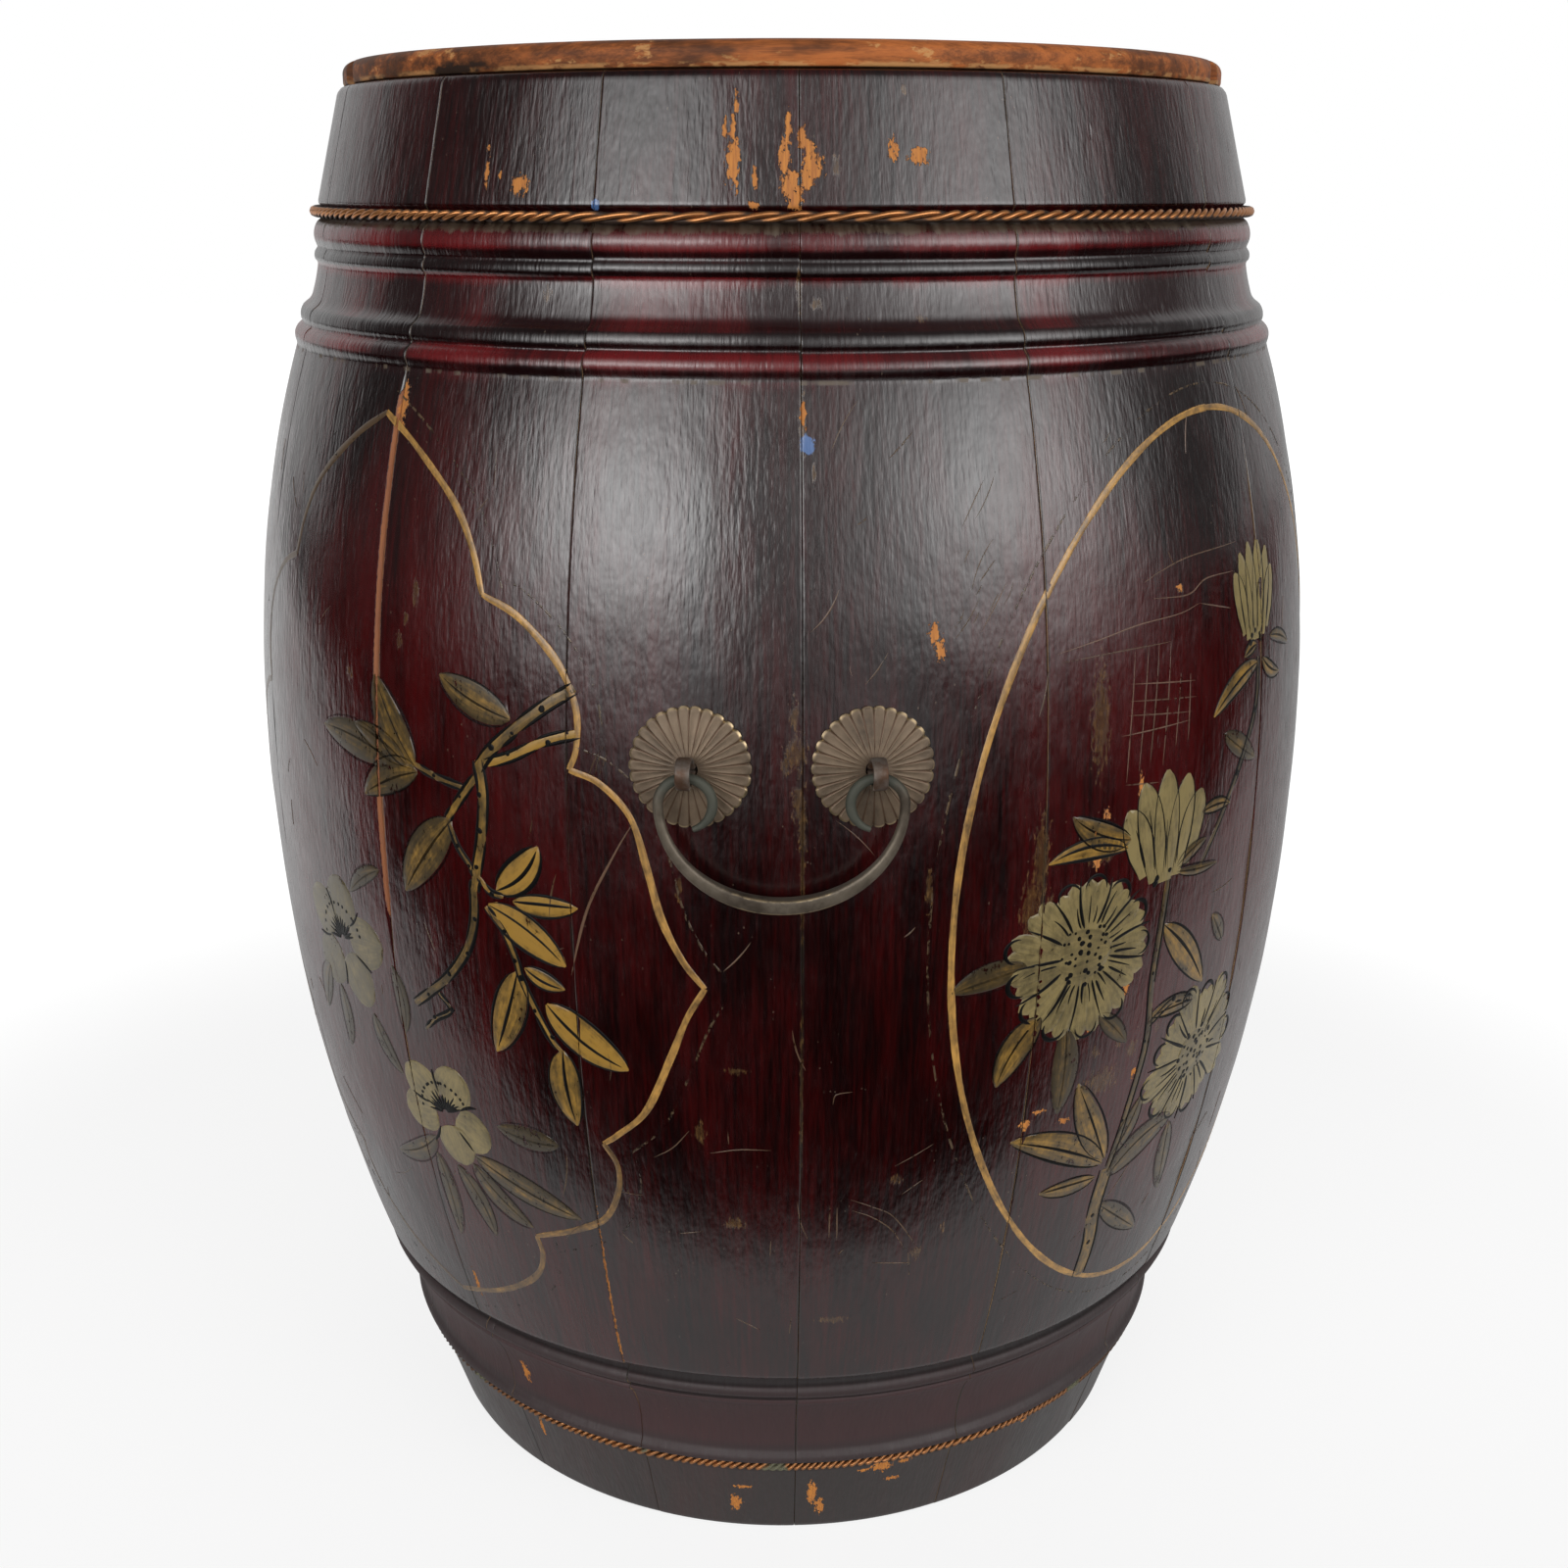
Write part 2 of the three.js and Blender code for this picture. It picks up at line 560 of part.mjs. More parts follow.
// A closed tube over rings of points, with a flat face at each end.
function tubeOver(rings) {
  const sides = rings[0].length;
  const index = [];
  const last = (rings.length - 1) * sides;
  for (let start = 0; start < last; start += sides) {
    for (let j = 0; j < sides; j += 1) {
      const [a, b] = [start + j, start + ((j + 1) % sides)];
      index.push(a, a + sides, b, b, a + sides, b + sides);
    }
  }
  for (let j = 1; j + 1 < sides; j += 1) {
    index.push(0, j, j + 1, last, last + j + 1, last + j);
  }
  const geometry = new THREE.BufferGeometry().setFromPoints(rings.flat());
  geometry.setIndex(index);
  return geometry;
}

// The bail swells from its round ends to a deeper, flatter middle.
function bail() {
  const half = bailHalfLine();
  const otherHalf = half.toReversed().map((p) => point(-p.x, p.y));
  const line = [...half, point(0, -BAIL_DROP), ...otherHalf];
  const rings = line.map((centre, i) => {
    const before = line[Math.max(i - 1, 0)];
    const after = line[Math.min(i + 1, line.length - 1)];
    const along = after.clone().sub(before).normalize();
    const share = Math.sin((Math.PI * i) / (line.length - 1)) ** BAIL_TAPER;
    const height = THREE.MathUtils.lerp(BAIL_END_RADIUS, BAIL_MIDDLE_HEIGHT, share);
    const depth = THREE.MathUtils.lerp(BAIL_END_RADIUS, BAIL_MIDDLE_DEPTH, share);
    return Array.from({ length: BAIL_SIDES }, (_, j) => {
      const at = (2 * Math.PI * j) / BAIL_SIDES;
      const across = height * Math.cos(at);
      const x = centre.x - along.y * across;
      const z = centre.y + along.x * across;
      return new THREE.Vector3(x, depth * Math.sin(at), z);
    });
  });
  return tubeOver(rings);
}

function addHandle(place, turn) {
  const handle = new THREE.Group();
  handle.rotation.z = turn;
  barrel.add(handle);
  for (const [side, sign] of Object.entries(handleSides)) {
    addPiece(handle, `${place}_rosette_${side}`, rosette(sign * handlePinAngle), bronze);
    addPiece(handle, `${place}_split_pin_${side}`, splitPin(sign * handlePinAngle), iron);
  }
  addPiece(handle, `${place}_bail`, bail(), bronze).position.set(0, hingeY, hingeZ);
}

addStaves();
addHoop("lower_hoop", lowerSeatRadius, lowerSeatZ);
addHoop("upper_hoop", upperSeatRadius, upperSeatZ);
addFloor();
addLid();
for (const [place, turn] of Object.entries(handleTurns)) addHandle(place, turn);

export default barrel;
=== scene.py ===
# %% [markdown]
# # A lacquered rice barrel
# The real barrel is a ring of sixteen hewn staves, lacquered wine red and nearly black, bound by two hoops
# of twisted copper wire. A boarded lid lies on its rim, a bail handle hangs on the front and on the back,
# and flower sprays are painted in gold and ink inside four gold outlines.
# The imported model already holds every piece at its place. Here the faceted solids are replaced by fine
# surfaces worked out with numpy, and each surface gets a procedural finish.

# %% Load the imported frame
import math
from dataclasses import dataclass, field

import bpy
import numpy as np
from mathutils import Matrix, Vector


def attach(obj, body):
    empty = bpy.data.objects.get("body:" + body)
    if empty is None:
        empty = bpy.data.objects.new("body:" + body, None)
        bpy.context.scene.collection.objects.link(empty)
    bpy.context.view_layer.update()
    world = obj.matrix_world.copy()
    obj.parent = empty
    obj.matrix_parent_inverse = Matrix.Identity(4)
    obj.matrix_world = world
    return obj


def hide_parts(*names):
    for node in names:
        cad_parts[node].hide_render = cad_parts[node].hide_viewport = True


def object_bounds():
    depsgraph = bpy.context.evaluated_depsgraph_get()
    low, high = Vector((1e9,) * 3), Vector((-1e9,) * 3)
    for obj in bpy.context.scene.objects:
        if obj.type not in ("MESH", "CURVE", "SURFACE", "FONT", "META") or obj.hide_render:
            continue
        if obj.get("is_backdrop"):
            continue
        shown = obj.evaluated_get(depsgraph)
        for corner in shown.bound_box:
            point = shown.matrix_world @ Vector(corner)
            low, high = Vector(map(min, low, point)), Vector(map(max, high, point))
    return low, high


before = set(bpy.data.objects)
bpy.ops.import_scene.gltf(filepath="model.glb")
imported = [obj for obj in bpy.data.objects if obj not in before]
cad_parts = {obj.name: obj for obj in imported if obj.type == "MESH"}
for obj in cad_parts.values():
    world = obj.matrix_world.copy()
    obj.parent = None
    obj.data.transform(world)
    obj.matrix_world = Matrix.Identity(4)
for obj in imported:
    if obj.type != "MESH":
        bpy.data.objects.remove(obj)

cad_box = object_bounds()
print("CAD box", [[round(x, 4) for x in corner] for corner in cad_box])

# %% [markdown]
# ## From a formula to a mesh
# A smooth shape could be modelled by hand, or subdivided from a rough one. A formula is easier to read and
# to change: it gives a whole array of points at once. Nearly every piece here is a loft: a row of closed
# loops of points, with a face between neighbours. A Form keeps the points, the faces, a flat map of the
# surface (its UV) and named values for each point that a finish can read.

# %% Forms and lofts
MM = 0.001


@dataclass
class Form:
    """Points, four-sided faces, flat end faces, a UV pair for each point, and named values for each point."""

    points: np.ndarray
    quads: np.ndarray
    caps: list
    uv: np.ndarray
    fields: dict = field(default_factory=dict)


def volume_of(form):
    """Six times the closed volume: the sum over triangles of the box spanned by their three corners."""
    fans = [form.quads[:, [0, 1, 2]], form.quads[:, [0, 2, 3]]]
    for cap in form.caps:
        fans.append(np.stack([np.full(len(cap) - 2, cap[0]), cap[1:-1], cap[2:]], 1))
    a, b, c = (form.points[np.concatenate(fans)[:, i]] for i in range(3))
    return float((np.cross(a, b) * c).sum())


def loft(loops, uv=None, fields=None, endless=False):
    """Skin over an array of loops x points x 3. Each point joins its neighbour in the loop and in the next
    loop. An endless skin joins its last loop to its first; any other has a flat face at each end."""
    rows, columns, _ = loops.shape
    row = np.arange(rows if endless else rows - 1)[:, None]
    column = np.arange(columns)
    here = row * columns
    there = (row + 1) % rows * columns
    after = (column + 1) % columns
    quads = np.stack([here + column, here + after, there + after, there + column], -1).reshape(-1, 4)
    caps = [] if endless else [column[::-1], (rows - 1) * columns + column]
    flat = np.zeros((rows * columns, 2)) if uv is None else uv.reshape(-1, 2)
    values = {name: np.ravel(value) for name, value in (fields or {}).items()}
    form = Form(loops.reshape(-1, 3), quads, caps, flat, values)
    if volume_of(form) < 0:
        form.quads = form.quads[:, ::-1]
        form.caps = [cap[::-1] for cap in form.caps]
    return form


def gathered(forms):
    """Several forms as one, each one's point numbers moved up by the points before it."""
    starts = np.cumsum([0] + [len(form.points) for form in forms])
    return Form(
        np.concatenate([form.points for form in forms]),
        np.concatenate([form.quads + start for form, start in zip(forms, starts)]),
        [cap + start for form, start in zip(forms, starts) for cap in form.caps],
        np.concatenate([form.uv for form in forms]),
        {name: np.concatenate([form.fields[name] for form in forms]) for name in forms[0].fields},
    )


# %% A form as a piece on its body
def piece(name, form, finishes, body, nodes=(), face_finish=None, crease=40):
    """Puts a form into a mesh object, gives it its finishes, and rides it on a body of the frame."""
    corners = np.concatenate([form.quads.ravel(), *form.caps]).astype(np.int32)
    counts = np.array([4] * len(form.quads) + [len(cap) for cap in form.caps])
    mesh = bpy.data.meshes.new(name)
    mesh.vertices.add(len(form.points))
    mesh.vertices.foreach_set("co", form.points.astype(np.float32).ravel())
    mesh.loops.add(len(corners))
    mesh.loops.foreach_set("vertex_index", corners)
    mesh.polygons.add(len(counts))
    mesh.polygons.foreach_set("loop_start", np.cumsum(counts) - counts)
    if face_finish is not None:
        mesh.polygons.foreach_set("material_index", face_finish.astype(np.int32))
    mesh.uv_layers.new(name="wrap").uv.foreach_set("vector", form.uv[corners].astype(np.float32).ravel())
    for key, values in form.fields.items():
        mesh.attributes.new(key, "FLOAT", "POINT").data.foreach_set("value", values.astype(np.float32))
    mesh.update(calc_edges=True)
    mesh.shade_smooth()
    mesh.set_sharp_from_angle(angle=math.radians(crease))
    for finish in finishes:
        mesh.materials.append(finish)
    made = bpy.data.objects.new(name, mesh)
    bpy.context.scene.collection.objects.link(made)
    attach(made, body)
    if nodes:
        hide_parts(*nodes)
    return made


# %% [markdown]
# ## Finishes as formulas
# A finish is a tree of shader nodes. Wired by hand it is hard to follow, so a small class stands for one
# socket, and Python's own operators add the Math nodes: 1 - mask or 0.4 * streak + 0.2 reads as it works.
# Colours go through Mix and directions through Vector Math, because a Math node would turn them grey.

# %% The shade class
class Shade:
    """One value on its way through a finish: an output socket of the node tree that it belongs to."""

    def __init__(self, tree, socket=None):
        self.tree = tree
        self.socket = socket

    def node(self, kind, settings=None, sockets=None, out=0):
        """Adds any node: first its settings, then the values or links of its sockets, by name or number."""
        made = self.tree.nodes.new(kind)
        for name, value in (settings or {}).items():
            setattr(made, name, value)
        for key, value in (sockets or {}).items():
            if isinstance(value, Shade):
                self.tree.links.new(value.socket, made.inputs[key])
            else:
                made.inputs[key].default_value = value
        return Shade(self.tree, made.outputs[out] if made.outputs else None)

    def math(self, operation, *others):
        """A Math node with this value first."""
        return self.node("ShaderNodeMath", {"operation": operation}, dict(enumerate((self, *others))))

    def __add__(self, other):
        return self.math("ADD", other)

    def __sub__(self, other):
        return self.math("SUBTRACT", other)

    def __rsub__(self, other):
        return self.node("ShaderNodeMath", {"operation": "SUBTRACT"}, {0: other, 1: self})

    def __mul__(self, other):
        return self.math("MULTIPLY", other)

    def __abs__(self):
        return self.math("ABSOLUTE")

    __radd__ = __add__
    __rmul__ = __mul__

    def lesser(self, other):
        """The smaller of this value and another."""
        return self.math("MINIMUM", other)

    def greater(self, other):
        """The larger of this value and another."""
        return self.math("MAXIMUM", other)

    def rise(self, low, high):
        """0 below low, 1 above high, and a smooth step between them. It falls where low is above high."""
        ends = {"Value": self, "From Min": low, "From Max": high}
        return self.node("ShaderNodeMapRange", {"interpolation_type": "SMOOTHSTEP"}, ends)

    def band(self, start, full, still, end):
        """1 between the two middle levels, 0 beyond the outer two, and a smooth step on either side."""
        return self.rise(start, full) * self.rise(end, still)

    def bands(self, places):
        """The sum of several bands."""
        return sum((self.band(*place) for place in places[1:]), self.band(*places[0]))

    def axes(self):
        """The three parts of this direction or place."""
        return [self.node("ShaderNodeSeparateXYZ", {}, {0: self}, out=axis) for axis in range(3)]

    def colour(self, start, end):
        """Mixes two colours: start where this value is 0, end where it is 1."""
        return self.node("ShaderNodeMix", {"data_type": "RGBA"}, {0: self, 6: start, 7: end}, out=2)

    def scaled(self, x, y, z):
        """This direction or place, stretched along its axes."""
        return self.node("ShaderNodeVectorMath", {"operation": "MULTIPLY"}, {0: self, 1: (x, y, z)})

    def noise(self, scale=1.0, detail=3.0, rough=0.5, twist=0.0):
        """Cloudy noise at this place, about 0.5 on average."""
        sockets = {"Vector": self, "Scale": scale, "Detail": detail, "Roughness": rough, "Distortion": twist}
        return self.node("ShaderNodeTexNoise", {}, sockets)

    def spots(self, scale):
        """Distance to the nearest of many scattered points, from 0 at a point."""
        return self.node("ShaderNodeTexVoronoi", {}, {"Vector": self, "Scale": scale})

    def bump(self, distance, strength=1.0):
        """A surface normal that makes this height, in metres of distance, show in the light."""
        return self.node("ShaderNodeBump", {}, {"Strength": strength, "Distance": distance, "Height": self})


# %% Starting and closing a finish
def new_finish(name):
    """An empty material, and a shade to build its nodes from."""
    material = bpy.data.materials.new(name)
    material.use_nodes = True
    material.node_tree.nodes.clear()
    return material, Shade(material.node_tree)


def close_finish(root, sockets):
    """Feeds the Principled shader and the material's output."""
    shader = root.node("ShaderNodeBsdfPrincipled", {}, sockets)
    root.node("ShaderNodeOutputMaterial", {}, {"Surface": shader})


def place_of(root):
    """The place of a point in metres, in the barrel's own frame."""
    return root.node("ShaderNodeTexCoord", {}, {}, out="Object")


def wrap_of(root):
    """The piece's own flat map."""
    return root.node("ShaderNodeUVMap", {"uv_map": "wrap"})


def field_of(root, name):
    """A named value of the mesh."""
    return root.node("ShaderNodeAttribute", {"attribute_name": name}, {}, out="Fac")


# %% [markdown]
# ## The line of the staves
# From the ground up, a stave has a leaning foot, a seat for the lower hoop, a lip, a hollow band, a thin rim,
# a bead and a groove. Then comes the belly, a shoulder bead, a hollow neck between two thin fillets, a neck
# bead, the seat of the upper hoop and a collar that leans in to the rim. The outline is a chain of straight
# lines and shallow arcs in the plane of radius and height. A short blur along it eases every corner, as
# lacquer and use do.

# %% The belly's curve and shallow arcs
BELLY_RADIUS = 225.0 * MM
BELLY_FOOT_RADIUS = 192.0 * MM
BELLY_TOP_RADIUS = 200.8 * MM
BELLY_Z = 317.5 * MM
BELLY_FOOT_Z = 93.6 * MM
GROOVE_TOP_Z = 96.8 * MM
BELLY_TOP_Z = 478.0 * MM
BELLY_FULLNESS = 2.2
STAVE_THICKNESS = 15.0 * MM
CORNER_EASE = 0.55 * MM
FINE_STEP = 0.25 * MM
MOULDING_STEP = 1.0 * MM
BELLY_STEP = 1.7 * MM
BOW_STEPS = 12
NECK_THINNING = 2.8 * MM


def belly_radius(z):
    """Widest radius, less a fall that grows as a power of the distance from the widest ring."""
    fall = np.where(z < BELLY_Z, BELLY_RADIUS - BELLY_FOOT_RADIUS, BELLY_RADIUS - BELLY_TOP_RADIUS)
    reach = np.where(z < BELLY_Z, BELLY_Z - BELLY_FOOT_Z, BELLY_TOP_Z - BELLY_Z)
    return BELLY_RADIUS - fall * np.clip(np.abs(z - BELLY_Z) / reach, 0, 1) ** BELLY_FULLNESS


def bow(start, end, rise):
    """A shallow arc between two places of radius and height, in millimetres. Its middle stands off the chord
    by rise."""
    a, b = np.array(start) * MM, np.array(end) * MM
    t = np.linspace(0, 1, BOW_STEPS + 1)[:, None]
    side = np.array([b[1] - a[1], a[0] - b[0]]) / np.hypot(*(b - a))
    return a + (b - a) * t + side * 4 * (rise * MM) * t * (1 - t)


# %% Outside outline
belly_heights = np.linspace(GROOVE_TOP_Z, BELLY_TOP_Z, 160)
outside_keys = np.concatenate([
    np.array([[160.2, 0], [161.8, 1.6], [173.4, 39.1], [172.3, 39.5], [172.3, 44.5], [178.2, 45.4]]) * MM,
    bow((178.4, 46.4), (177.2, 50.0), 0.6),
    bow((176.8, 50.6), (185.4, 79.4), -2.4),
    bow((186.6, 80.2), (187.4, 82.8), 0.5),
    np.array([[186.7, 83.3], [186.8, 84.0]]) * MM,
    bow((188.2, 84.6), (189.2, 90.6), 1.7),
    np.array([[187.9, 91.4], [187.3, 94.2]]) * MM,
    np.stack([belly_radius(belly_heights), belly_heights], 1),
    np.array([[200.2, 479.9]]) * MM,
    bow((199.9, 480.6), (196.8, 489.0), 2.2),
    bow((197.8, 489.9), (196.8, 494.8), 0.5),
    bow((195.8, 495.7), (192.2, 500.5), -0.7),
    bow((192.2, 500.5), (189.5, 511.6), -0.25),
    bow((190.7, 512.3), (190.3, 516.0), 0.3),
    bow((189.1, 516.9), (188.6, 526.9), 1.6),
    np.array([[186.9, 527.9], [186.9, 532.9], [188.0, 533.5], [177.5, 574.0], [176.0, 575.6]]) * MM,
])
print(len(outside_keys), "points before easing")


# %% Ease the corners
def along(points):
    """Distance travelled along a chain of points."""
    return np.concatenate([[0], np.cumsum(np.hypot(*np.diff(points, axis=0).T))])


def square_to(line):
    """The way of length 1 to the left of a flat line, at each of its points."""
    step = np.gradient(line, axis=0)
    return np.stack([-step[:, 1], step[:, 0]], 1) / np.maximum(np.hypot(*step.T), 1e-9)[:, None]


def eased(keys, ease, step):
    """The chain, sampled finely and blurred along its length by a bell curve of that spread."""
    travel = along(keys)
    even = np.arange(0, travel[-1], step)
    chain = np.stack([np.interp(even, travel, keys[:, i]) for i in range(2)], 1)
    reach = int(4 * ease / step)
    bell = np.exp(-0.5 * (np.arange(-reach, reach + 1) * step / ease) ** 2)
    padded = np.pad(chain, ((reach, reach), (0, 0)), mode="reflect", reflect_type="odd")
    return np.stack([np.convolve(padded[:, i], bell / bell.sum(), "valid") for i in range(2)], 1)


fine = eased(outside_keys, CORNER_EASE, FINE_STEP)
travel = along(fine)
belly_start, belly_end = np.interp([BELLY_FOOT_Z, BELLY_TOP_Z], fine[:, 1], travel)
stations = np.concatenate([
    np.arange(0, belly_start, MOULDING_STEP),
    np.arange(belly_start, belly_end, BELLY_STEP),
    np.append(np.arange(belly_end, travel[-1], MOULDING_STEP), travel[-1]),
])
outside = np.stack([np.interp(stations, travel, fine[:, i]) for i in range(2)], 1)
print("outside outline", len(outside), "points")

# %% Inside outline
inside_heights = np.linspace(BELLY_TOP_Z, BELLY_FOOT_Z, 24)
inside_radii = belly_radius(inside_heights) - STAVE_THICKNESS
inside_radii = inside_radii - NECK_THINNING * (belly_radius(inside_heights) < 0.21)
inside = np.concatenate([
    np.array([[164.1, 575.6], [162.9, 574.0], [171.9, 527.8]]) * MM,
    np.stack([inside_radii, inside_heights], 1),
    np.array([[157.3, 39.4], [156.7, 37.3], [157.8, 37.3], [157.8, 22.7], [152.6, 22.7], [146.8, 0]]) * MM,
])
print("inside outline", len(inside), "points")

# %% [markdown]
# ## Hewn, not turned
# The staves were shaped with a drawknife, so no two lie quite alike: each is tilted a little, a little
# flatter than the circle, and gently wavy. Reflections show this at once. The wall is therefore the outline
# plus a small unevenness, a formula of the angle round the barrel and the height. Everything that lies on
# the wall, such as paint and rosettes, uses the same formula.

# %% Seams
SEAM_SHARES = np.array([21.5, 20.8, 22.2, 30.5, 22, 20.5, 23, 21.5, 19, 20.5, 21.5, 24, 22.5, 21, 24.5, 25])
FIRST_SEAM = math.radians(-40.5)
TILT = 0.55 * MM
FLATNESS = 0.35 * MM
WAVE = 0.16 * MM
SLOW_WAVE = 0.13
QUICK_WAVE = 0.047
SETTLE = 0.5 * MM
BULGE = (BELLY_FOOT_Z, 0.16, 0.43, BELLY_TOP_Z)
FOOT_MOULDINGS = (0.050, 0.056, 0.094, 0.104)
NECK_MOULDINGS = (0.468, 0.478, 0.522, 0.527)

seams = FIRST_SEAM + np.concatenate([[0], np.cumsum(SEAM_SHARES)]) / SEAM_SHARES.sum() * 2 * math.pi
hands = np.random.default_rng(11)
stave_tilt = hands.uniform(-1, 1, len(SEAM_SHARES))
stave_flat = hands.uniform(0.2, 1, len(SEAM_SHARES))
stave_phase = hands.uniform(0, 2 * math.pi, len(SEAM_SHARES))
stave_lift = hands.uniform(-0.4, 0.4, len(SEAM_SHARES)) * MM
print(len(SEAM_SHARES), "staves,", np.round(np.diff(seams) * BELLY_RADIUS, 3), "m wide")


# %% The uneven wall
def smooth_step(value, low, high):
    """0 below low, 1 above high, an even curve between."""
    t = np.clip((value - low) / (high - low), 0, 1)
    return t * t * (3 - 2 * t)


def smooth_band(value, start, full, still, end):
    """1 between the two middle levels, 0 beyond the outer two, an even curve on either side."""
    return smooth_step(value, start, full) * (1 - smooth_step(value, still, end))


def unevenness(theta, z):
    """A tilt across the stave, a fall towards its edges, and two waves along it, strongest on the belly. All
    of it lies below the outline."""
    turn = (theta - seams[0]) % (2 * math.pi) + seams[0]
    stave = np.clip(np.searchsorted(seams, turn, side="right") - 1, 0, len(SEAM_SHARES) - 1)
    share = (turn - seams[stave]) / (seams[stave + 1] - seams[stave]) - 0.5
    phase = stave_phase[stave]
    slow = np.sin(2 * math.pi * z / SLOW_WAVE + phase) * np.cos(3.1 * share + phase)
    quick = np.sin(2 * math.pi * z / QUICK_WAVE + 2 * phase + 4 * share) * 0.35
    lie = TILT * stave_tilt[stave] * share - FLATNESS * stave_flat[stave] * 4 * share ** 2
    return (lie + WAVE * (slow + quick) - SETTLE) * (0.3 + 0.7 * smooth_band(z, *BULGE))


def moulding_share(z):
    """1 on the mouldings of the neck and above the foot, 0 on the belly, the seats and the ends."""
    return smooth_band(z, *FOOT_MOULDINGS) + smooth_band(z, *NECK_MOULDINGS)


def wall(theta, z, height=0.0):
    """A point on the belly at an angle from the front and a height, standing off the lacquer by height."""
    radius = belly_radius(z) + unevenness(theta, z) + height
    return np.stack([radius * np.sin(theta), -radius * np.cos(theta), z + 0 * radius], -1)


# %% [markdown]
# ## The staves
# Each stave is a loft: its closed outline, carried round through the stave's share of the circle. Columns
# lie closer together at the edges, which are eased, so that a seam is a real groove. One seam has sprung
# open on the upper belly, and bare wood shows along it. Chips, rubs and the distance from a seam are smooth
# values stored on the points. The finish breaks them up with noise, so that their edges are ragged at any
# distance. Each worn place has an angle in degrees from the front, then a height, half a width and half a
# height in millimetres.

# %% Chips and worn places
OPEN_SEAM = (0.262, 0.292, 0.470, 0.480)
chips = [
    (-4.6, 564.6, 1.1, 3.6), (-5.7, 557.5, 0.9, 3.8), (-4.9, 557.3, 0.9, 4.4), (-4.8, 547.9, 2.8, 6.8),
    (-4.4, 541.2, 0.9, 1.3), (-4.4, 538.1, 0.8, 1.4), (-2.6, 542.2, 1.1, 3.2), (0.7, 558.6, 1.3, 4.4),
    (0.3, 548.3, 2.1, 7.2), (0.9, 540.2, 3.3, 4.4), (1.3, 536.7, 3.0, 2.4), (2.0, 554.7, 1.7, 3.6),
    (2.7, 551.9, 2.3, 2.6), (3.0, 546.2, 3.8, 4.8), (2.5, 541.2, 2.7, 2.4), (1.3, 534.0, 2.6, 1.3),
    (-2.8, 534.1, 2.2, 1.3), (11.2, 551.1, 1.9, 3.2), (13.9, 549.0, 4.0, 2.6), (-32.0, 544.2, 1.1, 4.6),
    (-27.6, 540.4, 3.6, 3.0), (-32.2, 552.8, 0.8, 1.3), (-30.3, 543.7, 1.1, 1.3), (13.3, 400, 2.0, 3.6),
    (13.8, 395, 1.7, 3.4), (-6.7, 16, 3.2, 4.6), (-5.5, 27, 5.5, 0.9), (4.2, 23, 2.6, 7.0),
    (5.4, 14, 2.4, 5.0), (13.8, 36, 5.5, 3.0), (17.2, 37, 3.6, 1.4), (15.7, 27, 4.0, 1.1),
    (11.3, 35, 3.0, 1.1), (-37.4, 64, 2.4, 5.5), (-37.1, 32, 1.6, 6.0), (36.9, 37, 2.0, 2.0),
    (34.5, 259, 1.8, 2.2), (30.2, 248, 1.0, 2.4), (28.7, 209, 3.2, 1.2), (24.2, 212, 2.2, 2.2),
    (25.7, 216, 3.0, 1.0), (37.5, 220, 1.2, 2.8), (29.7, 325, 2.4, 2.6), (30.6, 331, 1.6, 1.8),
    (34.6, 337, 1.2, 7.0), (29.7, 313, 1.6, 2.6), (39.9, 406, 2.2, 1.3), (-18.95, 140, 0.6, 34.0),
    (-18.95, 108, 0.6, 9.0), (-38.6, 116, 1.2, 7.0), (-40.0, 468, 2.4, 7.0), (2.0, 470, 1.2, 4.0),
    (150.0, 548, 2.6, 7.0), (196.0, 552, 3.0, 5.0), (222.0, 24, 2.4, 6.0), (171.0, 33, 5.0, 2.0),
    (100.0, 540, 1.6, 8.0), (-104.0, 549, 2.2, 5.5), (-90.0, 28, 2.2, 6.0), (80.0, 20, 2.0, 5.0),
]
rubs = [
    (1.1, 375, 2.0, 5.5), (1.2, 362, 4.0, 6.5), (0.3, 358, 2.0, 4.0), (1.5, 345, 2.6, 9.0),
    (1.8, 336, 1.4, 12.0), (1.8, 320, 0.9, 30.0), (1.9, 468, 1.4, 9.0), (3.4, 504, 2.6, 2.0),
    (29.6, 365, 4.2, 22.0), (23.6, 318, 3.4, 18.0), (22.8, 300, 4.5, 14.0), (1.7, 508, 1.2, 9.0),
    (-24.0, 506, 2.0, 3.0), (24.6, 296, 2.5, 10.0), (184.0, 360, 2.4, 16.0), (12.7, 569.6, 1.8, 1.6),
    (5.4, 546, 1.6, 4.0), (13.6, 499, 2.4, 1.4), (-36.6, 397, 1.6, 2.4), (-37.4, 389, 1.8, 3.4),
    (-35.5, 407, 1.8, 6.0), (-44.6, 373, 2.4, 3.0), (12.9, 312, 1.4, 9.0), (33.0, 222, 9.0, 6.0),
    (30.0, 316, 8.0, 4.0), (-8.9, 315, 1.3, 6.0), (36.5, 232, 3.0, 4.0), (34.5, 240, 2.0, 5.0),
    (38.5, 226, 2.0, 4.0), (31.5, 236, 2.0, 3.0), (40.0, 238, 1.6, 3.0), (2.9, 452, 0.9, 3.6),
    (-4.2, 244.7, 5.0, 1.6), (-7.7, 218, 2.4, 5.0), (11.1, 196.8, 2.6, 2.4), (13.9, 161, 2.6, 3.4),
    (5.4, 130, 7.0, 1.8), (-4.6, 179, 4.0, 3.0), (1.8, 238, 0.6, 42.0), (16.4, 171, 1.0, 3.0),
]
strays = [(-18.8, 534.2, 2.0, 1.9), (2.3, 461, 3.0, 3.2)]
print(len(chips), "chips,", len(rubs), "rubbed places,", len(strays), "stray spots")


